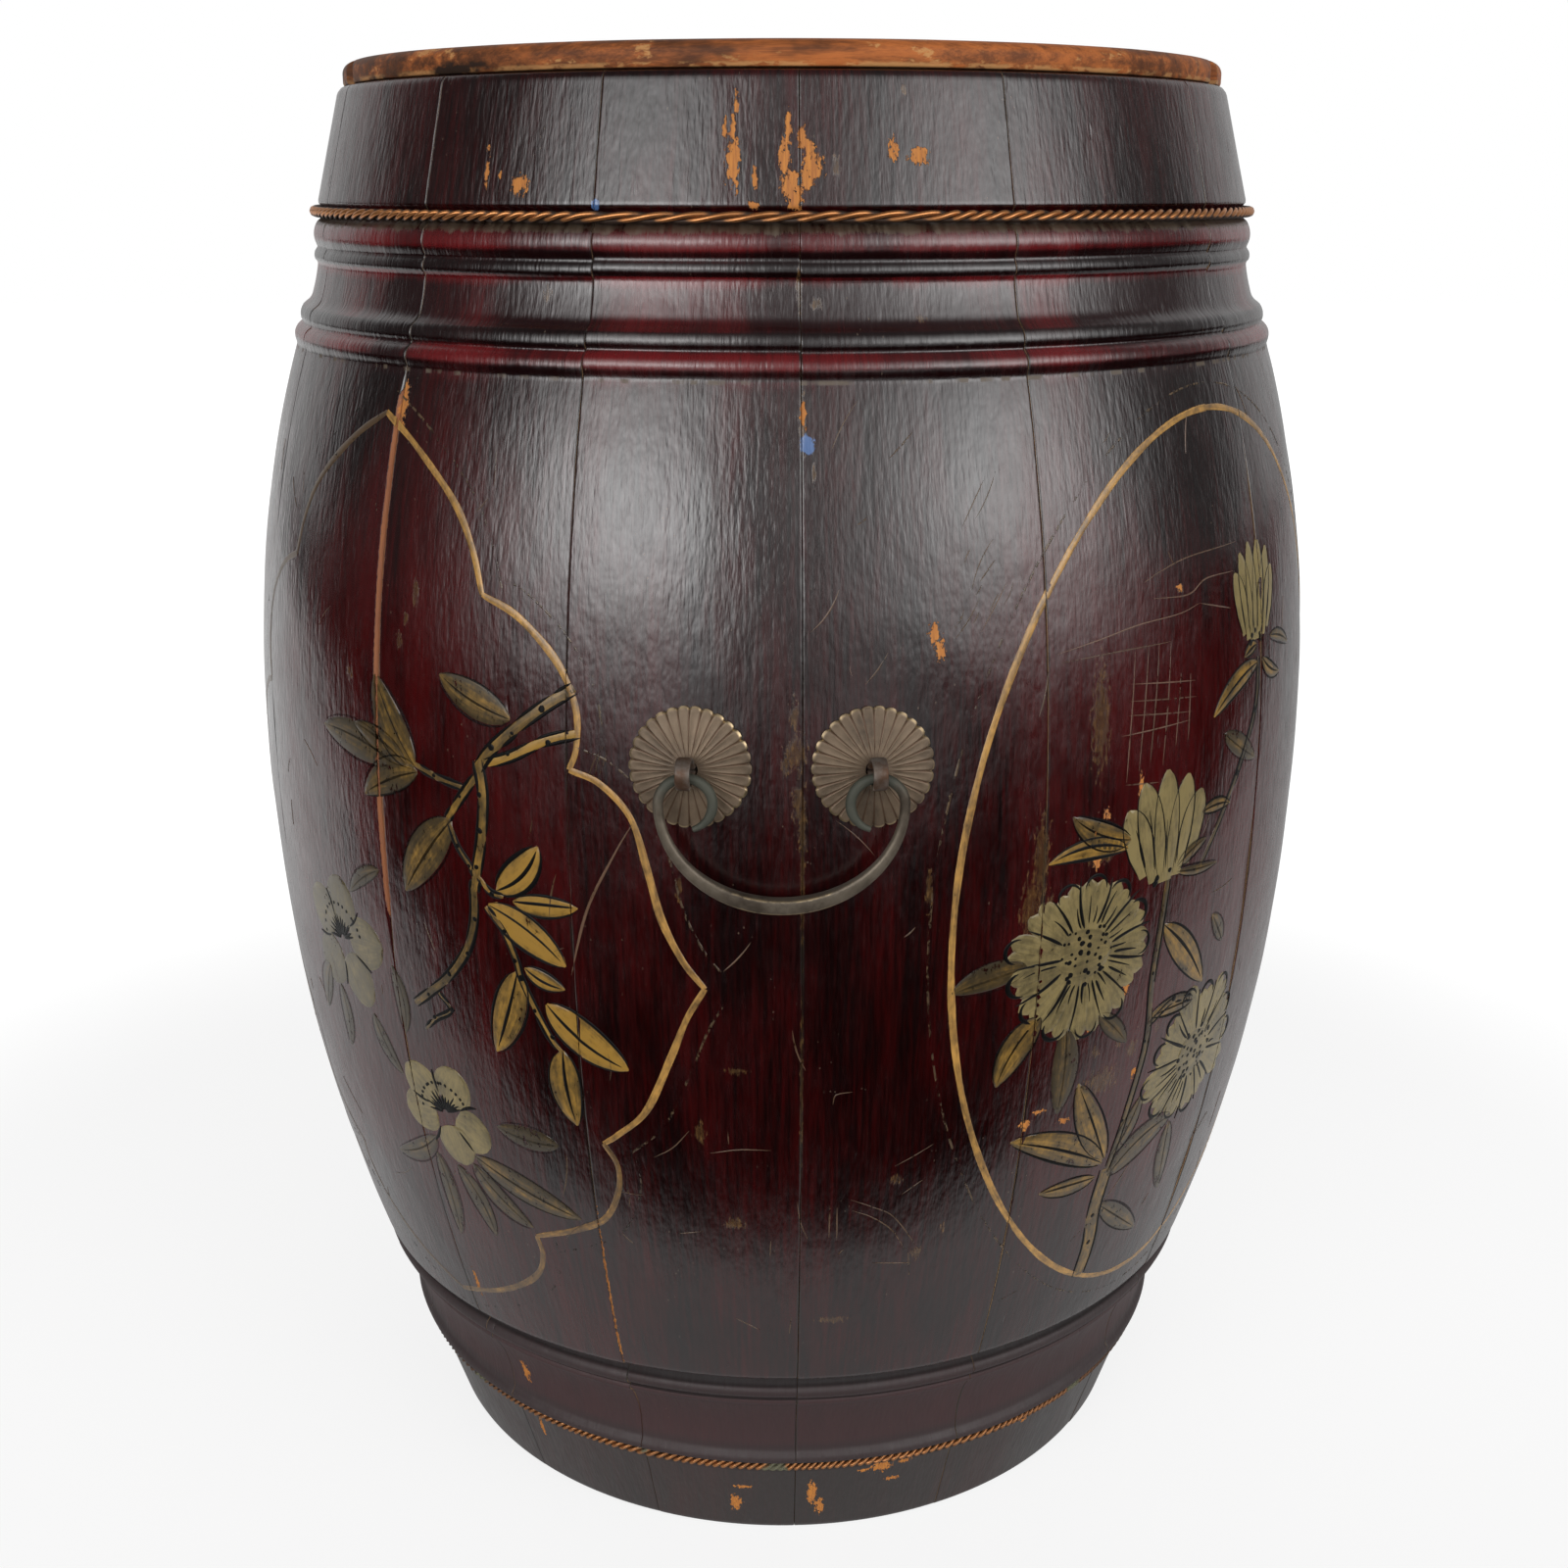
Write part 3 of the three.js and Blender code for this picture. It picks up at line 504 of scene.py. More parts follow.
def patches(theta, z, places):
    """The largest of many round hills: 1 at a place's middle, 0 at its edge and below 0 outside."""
    level = np.full(np.broadcast(theta, z).shape, -3.0)
    for degrees, height, half_width, half_height in places:
        turn = (theta - math.radians(degrees) + math.pi) % (2 * math.pi) - math.pi
        across = turn * BELLY_RADIUS / (half_width * MM)
        level = np.maximum(level, 1 - np.sqrt(across ** 2 + ((z - height * MM) / (half_height * MM)) ** 2))
    return level


def opening(z):
    """How far the sprung seam has opened at a height, from 0 to 1."""
    return smooth_band(z, *OPEN_SEAM)


# %% One stave
SEAM_GAP = 0.2 * MM
EDGE_WIDTH = 0.5 * MM
EDGE_DEPTH = 0.25 * MM
OPEN_WIDTH = 1.3 * MM
OPEN_DEPTH = 0.8 * MM
COLUMN_STEP = 2.4 * MM
FRONT_COLUMN_STEP = 1.3 * MM
FRONT_REACH = math.radians(60)
EDGE_COLUMNS = np.array([0, 0.2, 0.45, 0.8, 1.3, 2.0, 3.0]) * MM
FAR = 9.0
GAPE_FADE = 6


def stave_form(number):
    """The closed outline turned from one seam to the next, its outside uneven and its edges eased."""
    left, right = seams[number], seams[number + 1]
    width = (right - left) * BELLY_RADIUS - SEAM_GAP
    step = FRONT_COLUMN_STEP if abs(left + right) / 2 < FRONT_REACH else COLUMN_STEP
    middle = np.linspace(EDGE_COLUMNS[-1], width - EDGE_COLUMNS[-1], int(width / step))
    across = np.concatenate([EDGE_COLUMNS[:-1], middle, width - EDGE_COLUMNS[-2::-1]])[:, None]
    theta = left + (across + SEAM_GAP / 2) / BELLY_RADIUS
    heights = outside[None, :, 1]
    sprung = opening(heights)
    left_open = sprung if number == 0 else 0 * sprung
    right_open = sprung if number == len(SEAM_SHARES) - 1 else 0 * sprung
    cut = 0
    for from_edge, opened in ((across, left_open), (width - across, right_open)):
        reach = EDGE_WIDTH + OPEN_WIDTH * opened
        depth = EDGE_DEPTH + OPEN_DEPTH * opened
        cut = cut + depth * np.clip(1 - from_edge / reach, 0, 1) ** 2
    outer = outside[None, :, 0] + unevenness(theta, heights) - cut
    inner = inside[None, :, 0] + 0 * theta
    radius = np.concatenate([outer, inner], 1)
    lifted = outside[:, 1] + stave_lift[number] * moulding_share(outside[:, 1])
    z = np.concatenate([lifted, inside[:, 1]])[None, :] + 0 * radius
    loops = np.stack([radius * np.sin(theta), -radius * np.cos(theta), z], -1)
    uv = np.stack([theta * BELLY_RADIUS + 0 * z, z], -1)
    edge = np.minimum(across, width - across) + 0 * z
    from_left = across + FAR * (1 - left_open.max())
    from_right = width - across + FAR * (1 - right_open.max())
    gape = np.minimum(from_left, from_right) + 0 * z
    fields = {
        "edge": edge / MM,
        "gape": gape / MM + GAPE_FADE * (1 - opening(z)),
        "bare": patches(theta, z, chips),
        "rub": patches(theta, z, rubs),
        "stray": patches(theta, z, strays),
    }
    return loft(loops, uv, fields)


# %% [markdown]
# ## Lacquer
# The lacquer is layer on layer: a wine red ground under nearly black brown, rubbed thin on the belly and on
# the beads. On the mouldings the red is also painted brighter on their upper parts, as painted light. It is a
# hard, clear varnish, so most of what the eye sees is a soft reflection, broken by upright brush streaks,
# dents and a fine ripple. Where it has chipped, orange bare wood shows.

# %% Colours of lacquer, wood and wear
LACQUER_DARK = (0.0042, 0.0004, 0.0005, 1)
LACQUER_WINE = (0.0130, 0.0002, 0.0003, 1)
LACQUER_RED = (0.062, 0.0008, 0.0012, 1)
NECK_DARK = (0.012, 0.0010, 0.0014, 1)
NECK_RED = (0.132, 0.0042, 0.0060, 1)
FOOT_MAROON = (0.034, 0.0050, 0.0062, 1)
FOOT_BROWN = (0.016, 0.0085, 0.0060, 1)
BARE_WOOD = (0.53, 0.190, 0.020, 1)
BARE_WOOD_DARK = (0.30, 0.090, 0.012, 1)
SEAM_WOOD = (0.24, 0.072, 0.020, 1)
GRIME = (0.014, 0.010, 0.008, 1)
DUST = (0.090, 0.062, 0.037, 1)
SCUFF = (0.026, 0.005, 0.004, 1)
SPECK = (0.120, 0.088, 0.062, 1)
RUBBED = (0.068, 0.035, 0.012, 1)
RUBBED_TAN = (0.210, 0.112, 0.036, 1)
STRAY_BLUE = (0.075, 0.160, 0.37, 1)
LACQUER_SPECULAR = 0.85

# %% [markdown]
# The mouldings were lacquered and worn each in its own way, so the finish is told where they lie. Some of
# these bands hold painted light and shade: the red is painted brightest on the upper parts of the beads and
# the cove, and the undersides of the beads, the top of the foot bead and the grooves are painted dark as
# shade. A band of the wall is four heights in metres: where it starts, where it is full, where it is still
# full and where it ends.

# %% Lacquer on the staves
NECK = (0.476, 0.480, 0.522, 0.530)
FOOT = (0.0445, 0.0460, 0.0898, 0.0918)
BELLY = (0.10, 0.20, 0.40, 0.48)
# The upper parts of the beads and the cove, where the red is painted brightest as painted light, and the
# beads' undersides, painted dark as shade.
LIT_BEAD_TOPS = [(0.4825, 0.4845, 0.4880, 0.4895), (0.5190, 0.5210, 0.5250, 0.5272)]
SHADED_BEAD_UNDERSIDES = [(0.4797, 0.4805, 0.4825, 0.4845), (0.5162, 0.5168, 0.5190, 0.5205)]
LIT_COVE_TOP = (0.5070, 0.5105, 0.5118, 0.5124)
FILLETS = [(0.4893, 0.4900, 0.4948, 0.4955), (0.5118, 0.5124, 0.5162, 0.5168)]
# Grooves and creases of the foot, painted dark as shade.
SHADED_GROOVES = [
    (0.0898, 0.0910, 0.0962, 0.0974),
    (0.0827, 0.0833, 0.0841, 0.0848),
    (0.0434, 0.0440, 0.0456, 0.0462),
]
SHOULDER_DUST = (0.4788, 0.4795, 0.4801, 0.4808)


def lacquer_finish():
    """Dark, wine and red lacquer mixed by streaked noise, then layers of other tints, each where its share is
    above 0: mouldings, scuffs, flakes, grime, dust, rubs, bare wood and stray blue. On the neck the red is
    painted brightest on the upper parts of the beads and the cove, as painted light; the undersides of the
    beads, the top of the foot bead and the grooves are painted dark, as shade. What is worn is rougher.
    """
    material, root = new_finish("wine_lacquer")
    wrap = wrap_of(root)
    round_way, height, _ = wrap.axes()
    grain = wrap.scaled(620, 34, 1).noise(detail=4, rough=0.62, twist=0.4)
    ripple = wrap.scaled(560, 130, 1).noise(detail=2)
    fine = wrap.scaled(1500, 160, 1).noise(detail=2)
    broad = wrap.scaled(62, 5, 1).noise(detail=3)
    cloud = wrap.scaled(14, 8, 1).noise(detail=3, twist=0.5)
    dents = wrap.scaled(95, 55, 1).noise(detail=3, rough=0.6)
    on_neck, on_foot, on_belly = (height.band(*place) for place in (NECK, FOOT, BELLY))
    swing = (round_way * (2 / BELLY_RADIUS)).math("SINE")
    red = 0.24 + 0.28 * on_belly * swing * swing
    red = red + 1.1 * (cloud - 0.5) + 0.6 * (broad - 0.5) + 0.9 * (grain - 0.5)
    wine = 0.5 + 0.9 * (broad - 0.5) + 1.0 * (grain - 0.5) + 0.6 * (cloud - 0.5)
    colour = wine.rise(0.1, 0.9).colour(LACQUER_DARK, LACQUER_WINE)
    colour = red.rise(0.05, 0.95).colour(colour, LACQUER_RED)

    # The red is painted brightest on the upper parts of the beads and the cove, as painted light.
    beads = height.bands(LIT_BEAD_TOPS) + 0.8 * height.band(*LIT_COVE_TOP)
    neck = 0.22 + 0.42 * beads + 2.0 * (cloud - 0.5) + 0.4 * (broad - 0.5) + 0.6 * (grain - 0.5)
    colour = on_neck.colour(colour, neck.rise(0.1, 0.95).colour(NECK_DARK, NECK_RED))
    # Darker at the top of the foot bead, painted shade under the belly's overhang, and darker just above the
    # lower hoop.
    foot_edges = height.rise(0.0560, 0.0520).greater(height.rise(0.0840, 0.0870)) * on_foot
    below_wire = height.rise(0.0415, 0.0395)
    # The foot's grooves, painted dark as shade, and made rougher.
    groove = height.bands(SHADED_GROOVES)

    scuff = wrap.scaled(900, 130, 1).noise(detail=4, rough=0.7)
    flake_field = wrap.scaled(330, 210, 1)
    flakes = flake_field.spots(1.0).rise(0.12, 0.05)
    flakes = flakes * flake_field.noise(scale=0.11, detail=2).rise(0.52, 0.66)
    smear = wrap.scaled(150, 40, 1).noise(detail=3)
    grime = field_of(root, "edge").rise(1.0, 0.2) * smear.rise(0.42, 0.62)
    settled = (height + 5 * MM * (smear - 0.5) + 3 * MM * (fine - 0.5)).rise(0.5251, 0.5261)
    dust = settled * height.rise(0.5296, 0.5288) * (0.55 + 1.2 * (ripple - 0.5) + 1.4 * (smear - 0.5))
    dust = dust + height.band(*SHOULDER_DUST) * smear.rise(0.52, 0.62)
    crust = wrap.scaled(760, 240, 1).noise(detail=5, rough=0.7)
    rub = (field_of(root, "rub") + 3.4 * (crust - 0.5)).rise(0.0, 0.5)
    ragged = wrap.scaled(620, 400, 1).noise(detail=5, rough=0.7)
    chip = (field_of(root, "bare") + 4.0 * (ragged - 0.5)).rise(0.0, 0.10)
    gape = (field_of(root, "gape") - 1.6 * (ragged - 0.5)).rise(1.75, 1.35)
    bare = chip.greater(gape)
    timber = wrap.scaled(800, 60, 1).noise(detail=4, rough=0.7).rise(0.25, 0.65)
    stray = (field_of(root, "stray") + 1.6 * (ragged - 0.5)).rise(0.02, 0.2)
    layers = [
        (0.85 * height.bands(FILLETS), LACQUER_DARK),
        # Painted shade on the undersides of the beads.
        (0.6 * height.bands(SHADED_BEAD_UNDERSIDES), LACQUER_DARK),
        (0.7 * on_foot, FOOT_MAROON),
        (0.5 * foot_edges, LACQUER_DARK),
        (0.6 * below_wire, FOOT_BROWN),
        (0.5 * scuff.rise(0.56, 0.72), SCUFF),
        (0.7 * flakes, SPECK),
        (0.9 * groove, LACQUER_DARK),
        (grime, GRIME),
        (0.9 * dust, DUST),
        (0.65 * rub, crust.rise(0.50, 0.72).colour(RUBBED, RUBBED_TAN)),
        (gape, timber.colour(BARE_WOOD_DARK, SEAM_WOOD)),
        (chip, timber.colour(BARE_WOOD_DARK, BARE_WOOD)),
        (0.8 * stray, STRAY_BLUE),
    ]
    for share, tint in layers:
        colour = share.colour(colour, tint)

    nick_field = wrap.scaled(95, 30, 1)
    nicks = nick_field.spots(1.0).rise(0.10, 0.03) * nick_field.noise(scale=0.7, detail=1).rise(0.50, 0.62)
    rough = 0.235 + (0.02 * on_neck + 0.38 * on_foot + 0.14 * below_wire)
    rough = rough + 0.14 * (ripple - 0.5) + 0.20 * (cloud - 0.5) + 0.10 * (fine - 0.5) + 0.14 * (dents - 0.5)
    relief = 0.075 * grain + 0.17 * ripple + 0.016 * fine + 0.10 * broad + 0.36 * dents - 0.20 * nicks
    close_finish(root, {
        "Base Color": colour,
        "Roughness": rough + 0.5 * bare + 0.3 * dust + 0.6 * groove,
        "Specular IOR Level": LACQUER_SPECULAR,
        "Normal": (relief - 0.25 * bare + 0.05 * rub * crust).bump(MM),
    })
    return material


# %% [markdown]
# ## Bare wood
# Inside, the barrel was left as the wood was cut: pale, dusty and a little uneven. The floor boards and the
# battens are the same timber, so one function makes each finish, and only its grain and tint differ.
# The grain is noise stretched along the boards, with a few darker growth lines.

# %% Timber for the inside
def timber_finish(name, grain, pale, deep, roughness=0.72):
    """Wood with its grain along one axis: grain holds how far each axis is stretched."""
    material, root = new_finish(name)
    place = place_of(root)
    rings = place.scaled(*grain).noise(detail=4, rough=0.6, twist=0.5)
    fibre = place.scaled(*[6 * g for g in grain]).noise(detail=3, rough=0.7)
    stain = place.noise(14, detail=4)
    tone = (rings + 0.5 * (fibre - 0.5) + 0.7 * (stain - 0.5)).rise(0.25, 0.8)
    close_finish(root, {
        "Base Color": tone.colour(deep, pale),
        "Roughness": roughness + 0.2 * (fibre - 0.5),
        "Normal": (fibre + 0.4 * rings).bump(0.3 * MM, 0.5),
    })
    return material


lacquer = lacquer_finish()
inner_wood = timber_finish("inner_wood", (60, 60, 5), (0.36, 0.23, 0.12, 1), (0.15, 0.085, 0.04, 1))

# %% Build the staves
stave_faces = 0
for number in range(len(SEAM_SHARES)):
    form = stave_form(number)
    rows = len(form.quads) // (len(outside) + len(inside))
    outline_finish = (np.arange(len(outside) + len(inside)) > len(outside)).astype(int)
    face_finish = np.append(np.tile(outline_finish, rows), [1, 1])
    label = f"{number + 1:02d}"
    piece(f"lacquered_stave_{label}", form, [lacquer, inner_wood], "barrel", [f"stave_{label}"],
          face_finish, crease=50)
    stave_faces += len(form.quads)
print(len(SEAM_SHARES), "staves,", stave_faces, "faces")

# %% [markdown]
# ## Twisted wire hoops
# Three copper wires are twisted together, pulled round the barrel and let into a seat. A strand is a tube
# along a helix whose axis is the hoop: its angle round the axis grows with the angle round the barrel. At the
# front of the upper hoop the wires were spliced, and there the twist is slower, so the lay is longer.

# %% Copper wire
COPPER = (0.60, 0.255, 0.092, 1)
COPPER_TARNISH_AND_SHADE = (0.034, 0.018, 0.011, 1)
VERDIGRIS = (0.120, 0.116, 0.070, 1)
FRONT_FROM, FRONT_FULL = -0.095, -0.165


def copper_finish(name, green, polish, kept):
    """Bright on the proud, upper side of each strand and dull between them: partly polish and tarnish, partly
    a painted highlight on top and painted shade between the strands. A green crust shows where noise passes a
    level. Away from the front only a kept share of the polish and highlight is left; on the lower hoop this
    is dirt and painted shade under the foot's lip."""
    material, root = new_finish(name)
    place = place_of(root)
    tarnish = place.noise(90, detail=4, rough=0.65)
    # The proud, upper side of each strand: bright as polish and as a painted highlight; the dull colour
    # between strands is tarnish and painted shade.
    worn = field_of(root, "proud").rise(0.10, 0.90)
    front = place.axes()[1].rise(FRONT_FROM, FRONT_FULL)
    shine = polish * (kept + (1 - kept) * front) * (0.9 * worn + 1.2 * (tarnish - 0.5)).rise(0.2, 0.9)
    crust = place.noise(38, detail=3).rise(green, green + 0.06)
    close_finish(root, {
        "Base Color": crust.colour(shine.colour(COPPER_TARNISH_AND_SHADE, COPPER), VERDIGRIS),
        "Metallic": (0.92 - 0.8 * crust) * (0.45 + 0.55 * shine),
        "Roughness": 0.52 - 0.20 * shine + 0.3 * crust,
        "Normal": tarnish.bump(0.2 * MM, 0.4),
    })
    return material


# %% Strands round the barrel
HOOP_STEPS = 16
STRANDS = 3
STRAND_SIDES = 8
STRAND_SHARE = 0.464
SPLICE_EASE = 0.04


def lay_angle(theta, turns, slack, spliced):
    """Angle of the twist at each place round the hoop: nearly steady, slower between the two ends of the
    splice, and scaled so that the whole round is a whole number of turns."""
    start, end = (math.radians(degrees) for degrees in spliced)
    slow = smooth_band(theta, start - SPLICE_EASE, start + SPLICE_EASE, end - SPLICE_EASE, end + SPLICE_EASE)
    pace = (1 - slack * slow) * (1 + 0.12 * np.sin(9 * theta + 1) + 0.10 * np.sin(23 * theta))
    angle = np.concatenate([[0], np.cumsum((pace[1:] + pace[:-1]) / 2 * np.diff(theta))])
    return angle / (angle[-1] + pace[-1] * (theta[1] - theta[0])) * 2 * math.pi * turns


def hoop_form(radius, z, wire, turns, slack=0.0, spliced=(-20, 16), droop=0.0):
    """Three strands that together fill a round wire, wound about a ring of that radius."""
    theta = np.linspace(-math.pi, math.pi, turns * HOOP_STEPS, endpoint=False)
    twist = lay_angle(theta, turns, slack, spliced)
    ring = np.linspace(0, 2 * math.pi, STRAND_SIDES, endpoint=False)
    strand = wire / 2 * STRAND_SHARE
    strands = []
    for number in range(STRANDS):
        lean = (twist + 2 * math.pi * number / STRANDS)[:, None]
        out = (wire / 2 - strand) * np.cos(lean) + strand * np.cos(ring)
        up = (wire / 2 - strand) * np.sin(lean) + strand * np.sin(ring)
        level = z + droop * (np.sin(3 * theta + 0.6) + 0.5 * np.sin(7 * theta))[:, None]
        r = radius + out
        loops = np.stack([r * np.sin(theta[:, None]), -r * np.cos(theta[:, None]), level + up], -1)
        proud = (out + 0.4 * up) / (wire / 2)
        strands.append(loft(loops, fields={"proud": proud}, endless=True))
    return gathered(strands)


UPPER_HOOP = dict(radius=189.2 * MM, z=530.4 * MM, wire=4.1 * MM, turns=66, slack=0.5, droop=0.2 * MM)
LOWER_HOOP = dict(radius=174.5 * MM, z=42.0 * MM, wire=4.1 * MM, turns=110)
# Away from the front the lower hoop keeps only a tenth of its bright colour: dirt and painted shade under the
# foot's lip.
for name, sizes, green, polish, kept in (
        ("upper", UPPER_HOOP, 0.70, 0.9, 1.0),
        ("lower", LOWER_HOOP, 0.62, 0.62, 0.10)):
    copper = copper_finish(f"{name}_hoop_copper", green, polish, kept)
    piece(f"twisted_{name}_hoop", hoop_form(**sizes), [copper], "barrel", [f"{name}_hoop"],
          crease=60)
    print(name, "hoop", sizes["turns"], "turns")

# %% [markdown]
# ## The lid
# Three boards lie side by side, their outer edge rounded over and worn to bare orange wood. A board between
# two straight cuts is a loft of its cross-sections. Each section ends on the round outline, so its half
# length follows from the circle: the square root of the radius squared less the distance squared.

# %% Lid boards
LID_RADIUS = 174.7 * MM
LID_FOOT_Z = 575.9 * MM
LID_THICKNESS = 9.0 * MM
LID_ROUND = 4.2 * MM
LID_SEAM = 0.25 * MM
LID_WEAR = 0.35 * MM
LID_FALL = 0.25 * MM
ARRIS = 0.6 * MM

quarter = np.linspace(0, math.pi / 2, 9)
lid_edge = np.concatenate([
    np.array([[-1.4 * MM, 0], [-0.4 * MM, 0.5 * MM], [0, 1.6 * MM]]),
    np.stack([LID_ROUND * (np.cos(quarter) - 1), LID_THICKNESS - LID_ROUND * (1 - np.sin(quarter))], 1),
])


def worn_rim(theta):
    """How much the lid's edge is worn back at an angle from the front: slow waves round the rim."""
    waves = np.sin(5 * theta + 1) + 0.6 * np.sin(11 * theta) + 0.4 * np.sin(23 * theta + 2)
    return LID_WEAR * (waves - 1.4)


def middle_board_form():
    """Sections across the barrel at each distance from front to back; both ends lie on the circle."""
    half = LID_RADIUS / 3 - LID_SEAM
    rows = np.concatenate([[-half], np.linspace(-half + ARRIS, half - ARRIS, 60), [half]])[:, None]
    radius = LID_RADIUS + lid_edge[None, :, 0]
    end = np.sqrt(radius ** 2 - rows ** 2)
    end = end + worn_rim(np.arctan2(end, -rows))
    inner = np.linspace(1, -1, 40)[None, 1:-1] * end[:, -1:]
    x = np.concatenate([end, inner, -end[:, ::-1]], 1)
    sink = np.where(np.abs(rows) >= half, ARRIS, 0)
    top = LID_THICKNESS - LID_FALL * (rows / half) ** 2 + 0 * inner
    edge = lid_edge[None, :, 1] + 0 * end
    z = np.concatenate([edge, top, edge[:, ::-1]], 1)
    z = np.where(z > LID_THICKNESS / 2, z - sink, z)
    return loft(np.stack([x, rows + 0 * x, LID_FOOT_Z + z], -1))


def end_board_form(side):
    """Sections along the barrel at each distance across; one edge is straight, the other on the circle."""
    seam = LID_RADIUS / 3 + LID_SEAM
    reach = math.sqrt((LID_RADIUS - LID_ROUND - 1 * MM) ** 2 - seam ** 2)
    rows = (reach * np.sin(np.linspace(-math.pi / 2, math.pi / 2, 150)))[:, None]
    radius = LID_RADIUS + lid_edge[None, :, 0]
    end = np.sqrt(radius ** 2 - rows ** 2)
    end = np.maximum(end + worn_rim(np.arctan2(rows, end)), seam + 0.5 * MM)
    inner = end[:, -1:] + (seam + ARRIS - end[:, -1:]) * np.linspace(0, 1, 22)[None, 1:]
    straight = np.array([[seam, LID_THICKNESS - ARRIS], [seam, 0]])
    y = np.concatenate([end, inner, straight[None, :, 0] + 0 * rows], 1)
    top = LID_THICKNESS + 0 * inner
    z = np.concatenate([lid_edge[None, :, 1] + 0 * end, top, straight[None, :, 1] + 0 * rows], 1)
    return loft(np.stack([rows + 0 * y, side * y, LID_FOOT_Z + z], -1))


# %% [markdown]
# The lid's finish is old softwood under the last of a brown stain. The stain is darkest on the flat top, and
# gone along the rounded edge, where hands lift the lid. The grain runs along the boards.

# %% Lid finish
LID_ORANGE = (0.45, 0.135, 0.034, 1)
LID_BROWN = (0.150, 0.048, 0.016, 1)
LID_PALE = (0.52, 0.27, 0.10, 1)
LID_DARK = (0.026, 0.014, 0.009, 1)


def lid_finish():
    """Dark stained wood on top, orange wood at the rim, pale frayed spots, dirt, and painted shade along its
    foot.
    """
    material, root = new_finish("worn_lid_wood")
    place = place_of(root)
    grain = place.scaled(9, 260, 260).noise(detail=4, rough=0.65, twist=0.4)
    fibre = place.scaled(60, 1500, 1500).noise(detail=3, rough=0.7)
    stain = place.scaled(26, 26, 60).noise(detail=4, rough=0.6)
    patch = place.scaled(75, 75, 160).noise(detail=4, rough=0.7)
    x, y, height = place.axes()
    radius = (x * x + y * y).math("SQRT")
    rim = radius.rise(LID_RADIUS - 8 * MM, LID_RADIUS - 2.5 * MM)
    orange = (grain + 0.6 * (stain - 0.5) + 0.4 * (fibre - 0.5)).rise(0.3, 0.72).colour(LID_BROWN, LID_ORANGE)
    top = (grain + 1.2 * (stain - 0.5)).rise(0.3, 0.8).colour(LID_DARK, LID_BROWN)
    colour = (rim + 0.5 * (patch - 0.5)).rise(0.3, 0.7).colour(top, orange)
    pale = (patch - 0.3 * (1 - rim)).rise(0.60, 0.68) * height.rise(LID_FOOT_Z, LID_FOOT_Z + 3 * MM)
    colour = (pale * 0.8).colour(colour, LID_PALE)
    dirt = stain.rise(0.46, 0.34) * (1 - 0.3 * rim) + 0.95 * x.rise(-0.03, -0.13) * patch.rise(0.66, 0.46)
    frayed = (height - LID_FOOT_Z + 3 * MM * (patch - 0.5)).rise(2.4 * MM, 1.6 * MM) * patch.rise(0.44, 0.52)
    colour = (0.7 * frayed).colour(colour, LID_PALE)
    # The lowest millimetre of the lid's edge, painted near black as the shade where the lid sits on the rim.
    foot = height.rise(LID_FOOT_Z + 1.1 * MM, LID_FOOT_Z)
    colour = (dirt * 0.75).greater(foot * 0.9).colour(colour, LID_DARK)
    close_finish(root, {
        "Base Color": colour,
        "Roughness": 0.55 + 0.25 * (grain - 0.5) + 0.1 * pale,
        "Specular IOR Level": 0.2,
        "Normal": (0.5 * grain + 0.4 * fibre - 0.5 * pale).bump(0.5 * MM, 0.5),
    })
    return material


lid_wood = lid_finish()
boards = {"front": end_board_form(-1), "middle": middle_board_form(), "rear": end_board_form(1)}
for name, form in boards.items():
    piece(f"worn_lid_board_{name}", form, [lid_wood], "lid", [f"lid_board_{name}"], crease=35)
    print("lid board", name, len(form.quads), "faces")

# %% [markdown]
# ## Floor boards, battens and bamboo
# These pieces are plain in real life too: sawn boards and split bamboo. Their CAD solids have the right
# shape, so they stay, and only their finish is new. The floor boards run from front to back, as do the
# battens.

# %% Finishes for the carried-over solids
floor_wood = timber_finish("floor_wood", (55, 5, 55), (0.33, 0.21, 0.11, 1), (0.12, 0.07, 0.035, 1))
batten_wood = timber_finish("batten_wood", (70, 6, 70), (0.34, 0.20, 0.10, 1), (0.13, 0.07, 0.03, 1))
bamboo = timber_finish("split_bamboo", (200, 200, 30), (0.50, 0.36, 0.16, 1), (0.24, 0.16, 0.06, 1), 0.5)
dressed = {"floor_board": floor_wood, "lid_batten": batten_wood, "lid_nail": bamboo, "stave_pin": bamboo}
for start, finish in dressed.items():
    solids = [solid for node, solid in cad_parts.items() if node.startswith(start)]
    for solid in solids:
        solid.data.materials.clear()
        solid.data.materials.append(finish)
    print(len(solids), start, "solids keep their shape")

# %% [markdown]
# ## Rosettes
# Under each pin lies a thin stamped plate, divided into narrow petals. Each petal is a shallow hollow, with a
# fine groove on either side. Towards its tip the hollow closes in a raised, rounded end, and the outline is a
# row of half circles. The plate is bent to the wall, so its points go through the wall formula.

# %% Rosette form
HANDLE_Z = 357.0 * MM
PIN_ANGLE = math.asin(30.5 / 223.9)
ROSETTE_RADIUS = 20.8 * MM
ROSETTE_HUB = 3.1 * MM
ROSETTE_DOME = 1.6 * MM
ROSETTE_THICKNESS = 1.0 * MM
PETALS = 30
PETAL_COLUMNS = 16
PETAL_HOLLOW = 0.30 * MM
PETAL_GROOVE = 0.30 * MM
PETAL_TIP = 1.3 * MM
PETAL_ROLL = 0.35 * MM
PETAL_FALL = 0.25 * MM
ROSETTE_BACK = -0.1 * MM
ROSETTE_LIFT = 0.25 * MM

wall_radius = float(belly_radius(HANDLE_Z))
wall_lean = math.atan(float(belly_radius(HANDLE_Z - MM) - belly_radius(HANDLE_Z + MM)) / (2 * MM))
print("handles at radius", round(wall_radius, 4), "on a lean of", round(math.degrees(wall_lean), 2))


